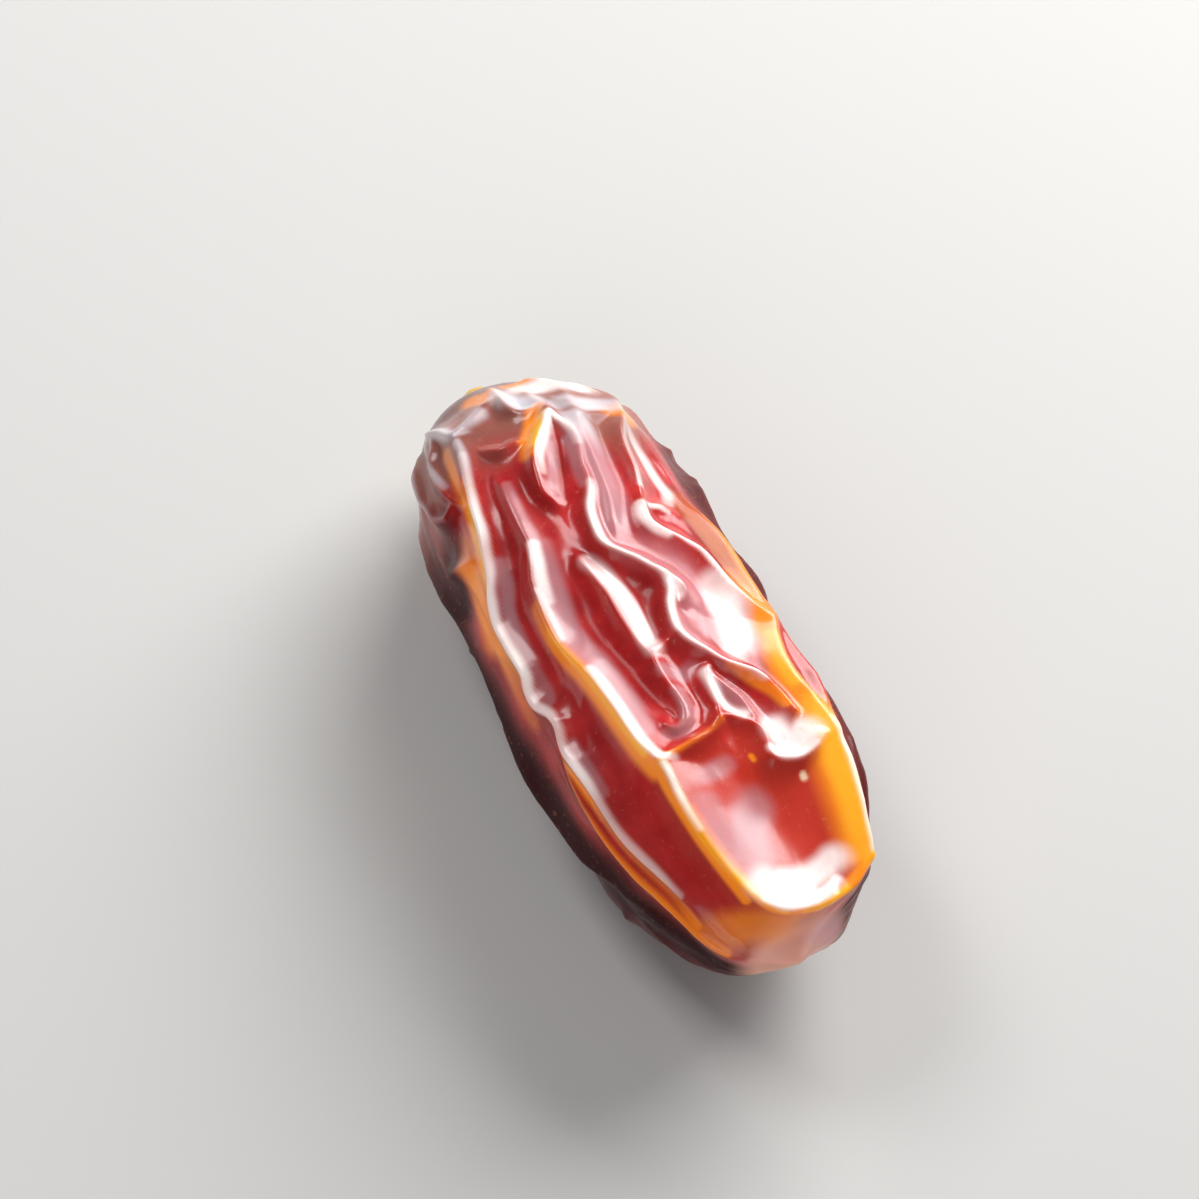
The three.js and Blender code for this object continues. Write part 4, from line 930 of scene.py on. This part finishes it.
# Creases run out from the middle: mm deep, how many, their swirl, and how they bend.
CREASE_DEPTH, CREASE_COUNT, CREASE_SWIRL, CREASE_BEND, CREASE_BENDS = 0.05, 23, 4.0, 1.3, 5
section = spline(CALYX_SECTION, CALYX_STEPS)
share, height, lumpy = (v[:, None] for v in section.T)
share = np.maximum(share, 0)
lumpy = np.clip(lumpy, 0, 1)
turn = (2 * np.pi * np.arange(CALYX_COLUMNS) / CALYX_COLUMNS)[None, :]
rim = 1 + sum(size * np.sin(count * turn + phase) for size, count, phase in CALYX_LOBES)
bumps = sum(size * np.sin(count * turn + phase + swirl * share)
            for size, count, phase, swirl in CALYX_LUMPS)
radius = CALYX_RADIUS * share * (1 + (rim - 1) * share)
shift = (1 - share) ** 2
side = radius * np.sin(turn) + CALYX_SCAR_OFFSET[0] * shift
rise = radius * np.cos(turn) + CALYX_SCAR_OFFSET[1] * shift
bent_turn = CREASE_COUNT * turn + CREASE_SWIRL * share + CREASE_BEND * np.sin(CREASE_BENDS * turn)
creases = CREASE_DEPTH * np.sin(bent_turn) * lumpy
out = CALYX_LIFT + height + bumps * lumpy + creases
pole_x, _, _, pole_y, pole_z, pole_pitch = STATIONS[0]
tilt = math.radians(pole_pitch)
CALYX = np.stack(np.broadcast_arrays(
    pole_x - MIDDLE[0] - out * math.cos(tilt) - rise * math.sin(tilt),
    pole_y - MIDDLE[1] + side,
    pole_z + REST_DEPTH - out * math.sin(tilt) + rise * math.cos(tilt),
), -1)
woody_calyx = closed_mesh("woody_calyx", CALYX)
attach(woody_calyx, "root")
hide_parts("calyx")
# The scar is a ring on the top side, and the hollows between lumps and creases are darker.
SCAR_RING, SCAR_WIDTH, TOP_SIDE_OVER = 0.15, 0.05, 1.0
HOLLOW_MIDDLE, LUMP_CONTRAST, CREASE_CONTRAST = 0.5, 2.2, 6.0
scar = np.exp(-((share - SCAR_RING) / SCAR_WIDTH) ** 2) * (height > TOP_SIDE_OVER)
hollow = HOLLOW_MIDDLE - bumps * LUMP_CONTRAST - creases * CREASE_CONTRAST
hollow = np.clip(hollow, 0, 1) * lumpy
keep_values(woody_calyx, "scar", np.broadcast_to(scar, CALYX.shape[:2]))
keep_values(woody_calyx, "hollow", np.broadcast_to(hollow, CALYX.shape[:2]))

# %% [markdown]
# Dry calyx tissue is matt and fibrous, like straw: pale yellow on the lobes, red-brown in
# the creases and dark round the scar. It takes no clear coat.

# %% Material: dry straw-like calyx
# Grain of the tissue is about 0.5 mm across.
GRAIN_SIZE = 0.5 * MM
DARK_STRAW, PALE_STRAW, CREASE_BROWN, SCAR_BROWN = "C98A28", "F2C860", "8A3C18", "3E1A10"
calyx_material, tree, output = new_material("dry_calyx_tissue")
place = add_node(tree, "ShaderNodeTexCoord").outputs["Object"]
grain = add_node(tree, "ShaderNodeTexNoise", Vector=place, Scale=1 / GRAIN_SIZE,
                 Detail=4.0).outputs[0]
tissue = add_node(tree, "ShaderNodeMix", {"data_type": "RGBA"}, _0=grain,
                  _6=linear(DARK_STRAW), _7=linear(PALE_STRAW)).outputs[2]
tissue = lay_over(tree, tissue, "hollow", 0.8, linear(CREASE_BROWN))
tissue = lay_over(tree, tissue, "scar", 1.0, linear(SCAR_BROWN))
bump = add_node(tree, "ShaderNodeBump", Height=grain, Strength=0.4, Distance=0.2 * MM).outputs[0]
shader = add_node(tree, "ShaderNodeBsdfPrincipled", Base_Color=tissue, Roughness=0.55, IOR=1.5,
                  Normal=bump, Subsurface_Weight=0.15, Subsurface_Radius=(1.0, 0.5, 0.2),
                  Subsurface_Scale=0.8 * MM)
tree.links.new(shader.outputs[0], output.inputs[0])
woody_calyx.data.materials.append(calyx_material)
print("material", calyx_material.name)

# %% [markdown]
# Step 6. The stage is a plain pale floor, and the light is a large soft box behind and to
# the right, as from a window, with weaker ones overhead and in front. Gloss shows only what
# it reflects, so the room is kept dim and the boxes draw the highlights.

# %% Floor, light and room
FLOOR_SIZE, FLOOR_COLOUR = 3.0, "CFCDCA"
ROOM_COLOUR, ROOM_STRENGTH = "C8CCD2", 0.24
LIGHT_AIM = Vector((0, 0, 8 * MM))
# Each light: direction from the date, distance, width and height in metres, and watts.
SOFT_BOXES = {
    "window_box": ((-0.40, 0.74, 0.54), 0.45, (0.42, 0.28), 3.3),
    "overhead_box": ((-0.58, -0.25, 0.77), 0.5, (0.16, 0.2), 0.8),
    "front_fill": ((0.75, -0.55, 0.45), 0.6, (0.5, 0.4), 0.9),
}
bpy.ops.mesh.primitive_plane_add(size=FLOOR_SIZE, location=(0, 0, 0))
floor = bpy.context.object
floor.name = "floor"
floor_material, tree, output = new_material("pale_matt_floor")
shader = add_node(tree, "ShaderNodeBsdfPrincipled", Base_Color=linear(FLOOR_COLOUR),
                  Roughness=0.8)
tree.links.new(shader.outputs[0], output.inputs[0])
floor.data.materials.append(floor_material)


def soft_box(name, direction, distance, size, watts):
    light = bpy.data.lights.new(name, "AREA")
    light.shape = "RECTANGLE"
    light.size, light.size_y = size
    light.energy = watts
    lamp = bpy.data.objects.new(name, light)
    bpy.context.scene.collection.objects.link(lamp)
    towards = Vector(direction).normalized()
    lamp.location = LIGHT_AIM + towards * distance
    lamp.rotation_euler = towards.to_track_quat("Z", "Y").to_euler()
    print(name, watts, "W")


for name, box in SOFT_BOXES.items():
    soft_box(name, *box)
world = bpy.data.worlds.new("dim_room")
world.use_nodes = True
world.node_tree.nodes["Background"].inputs["Color"].default_value = linear(ROOM_COLOUR)
world.node_tree.nodes["Background"].inputs["Strength"].default_value = ROOM_STRENGTH
bpy.context.scene.world = world

# %% [markdown]
# Step 7. The camera stands beyond the tip end and looks down at the date. A chosen point of
# the date's axis has to fall on a chosen pixel, and a millimetre there has to be so many
# pixels long. That gives the lens, and the small turn away from the point.

# %% The camera
CAMERA_AZIMUTH, CAMERA_ELEVATION = 64.0, 57.0
CAMERA_DISTANCE = 220 * MM
CAMERA_CLIP = 10 * MM
SENSOR_WIDTH = 36.0
PHOTO_SIZE = 1199
PIXELS_PER_MM = 15.6
AIM_STATION = 24.0
AIM = Vector((AIM_STATION - MIDDLE[0], -MIDDLE[1], REST_DEPTH)) * MM
AIM_PIXEL = (643, 680)
azimuth, elevation = math.radians(CAMERA_AZIMUTH), math.radians(CAMERA_ELEVATION)
level = math.cos(elevation)
back = Vector((math.sin(azimuth) * level, -math.cos(azimuth) * level, math.sin(elevation)))
right = Vector((math.cos(azimuth), math.sin(azimuth), 0))
up = back.cross(right)
focal_pixels = PIXELS_PER_MM / MM * CAMERA_DISTANCE
off_right = (AIM_PIXEL[0] - PHOTO_SIZE / 2) / focal_pixels
off_down = (AIM_PIXEL[1] - PHOTO_SIZE / 2) / focal_pixels
view_back = (back + right * off_right - up * off_down).normalized()
camera_data = bpy.data.cameras.new("camera")
camera_data.sensor_width = SENSOR_WIDTH
camera_data.lens = focal_pixels / PHOTO_SIZE * SENSOR_WIDTH
camera_data.clip_start = CAMERA_CLIP
camera = bpy.data.objects.new("camera", camera_data)
bpy.context.scene.collection.objects.link(camera)
camera.location = AIM + back * CAMERA_DISTANCE
camera.rotation_euler = view_back.to_track_quat("Z", "Y").to_euler()
bpy.context.scene.camera = camera
bpy.context.scene.view_settings.view_transform = "Standard"
print("lens", round(camera_data.lens, 2), "mm")
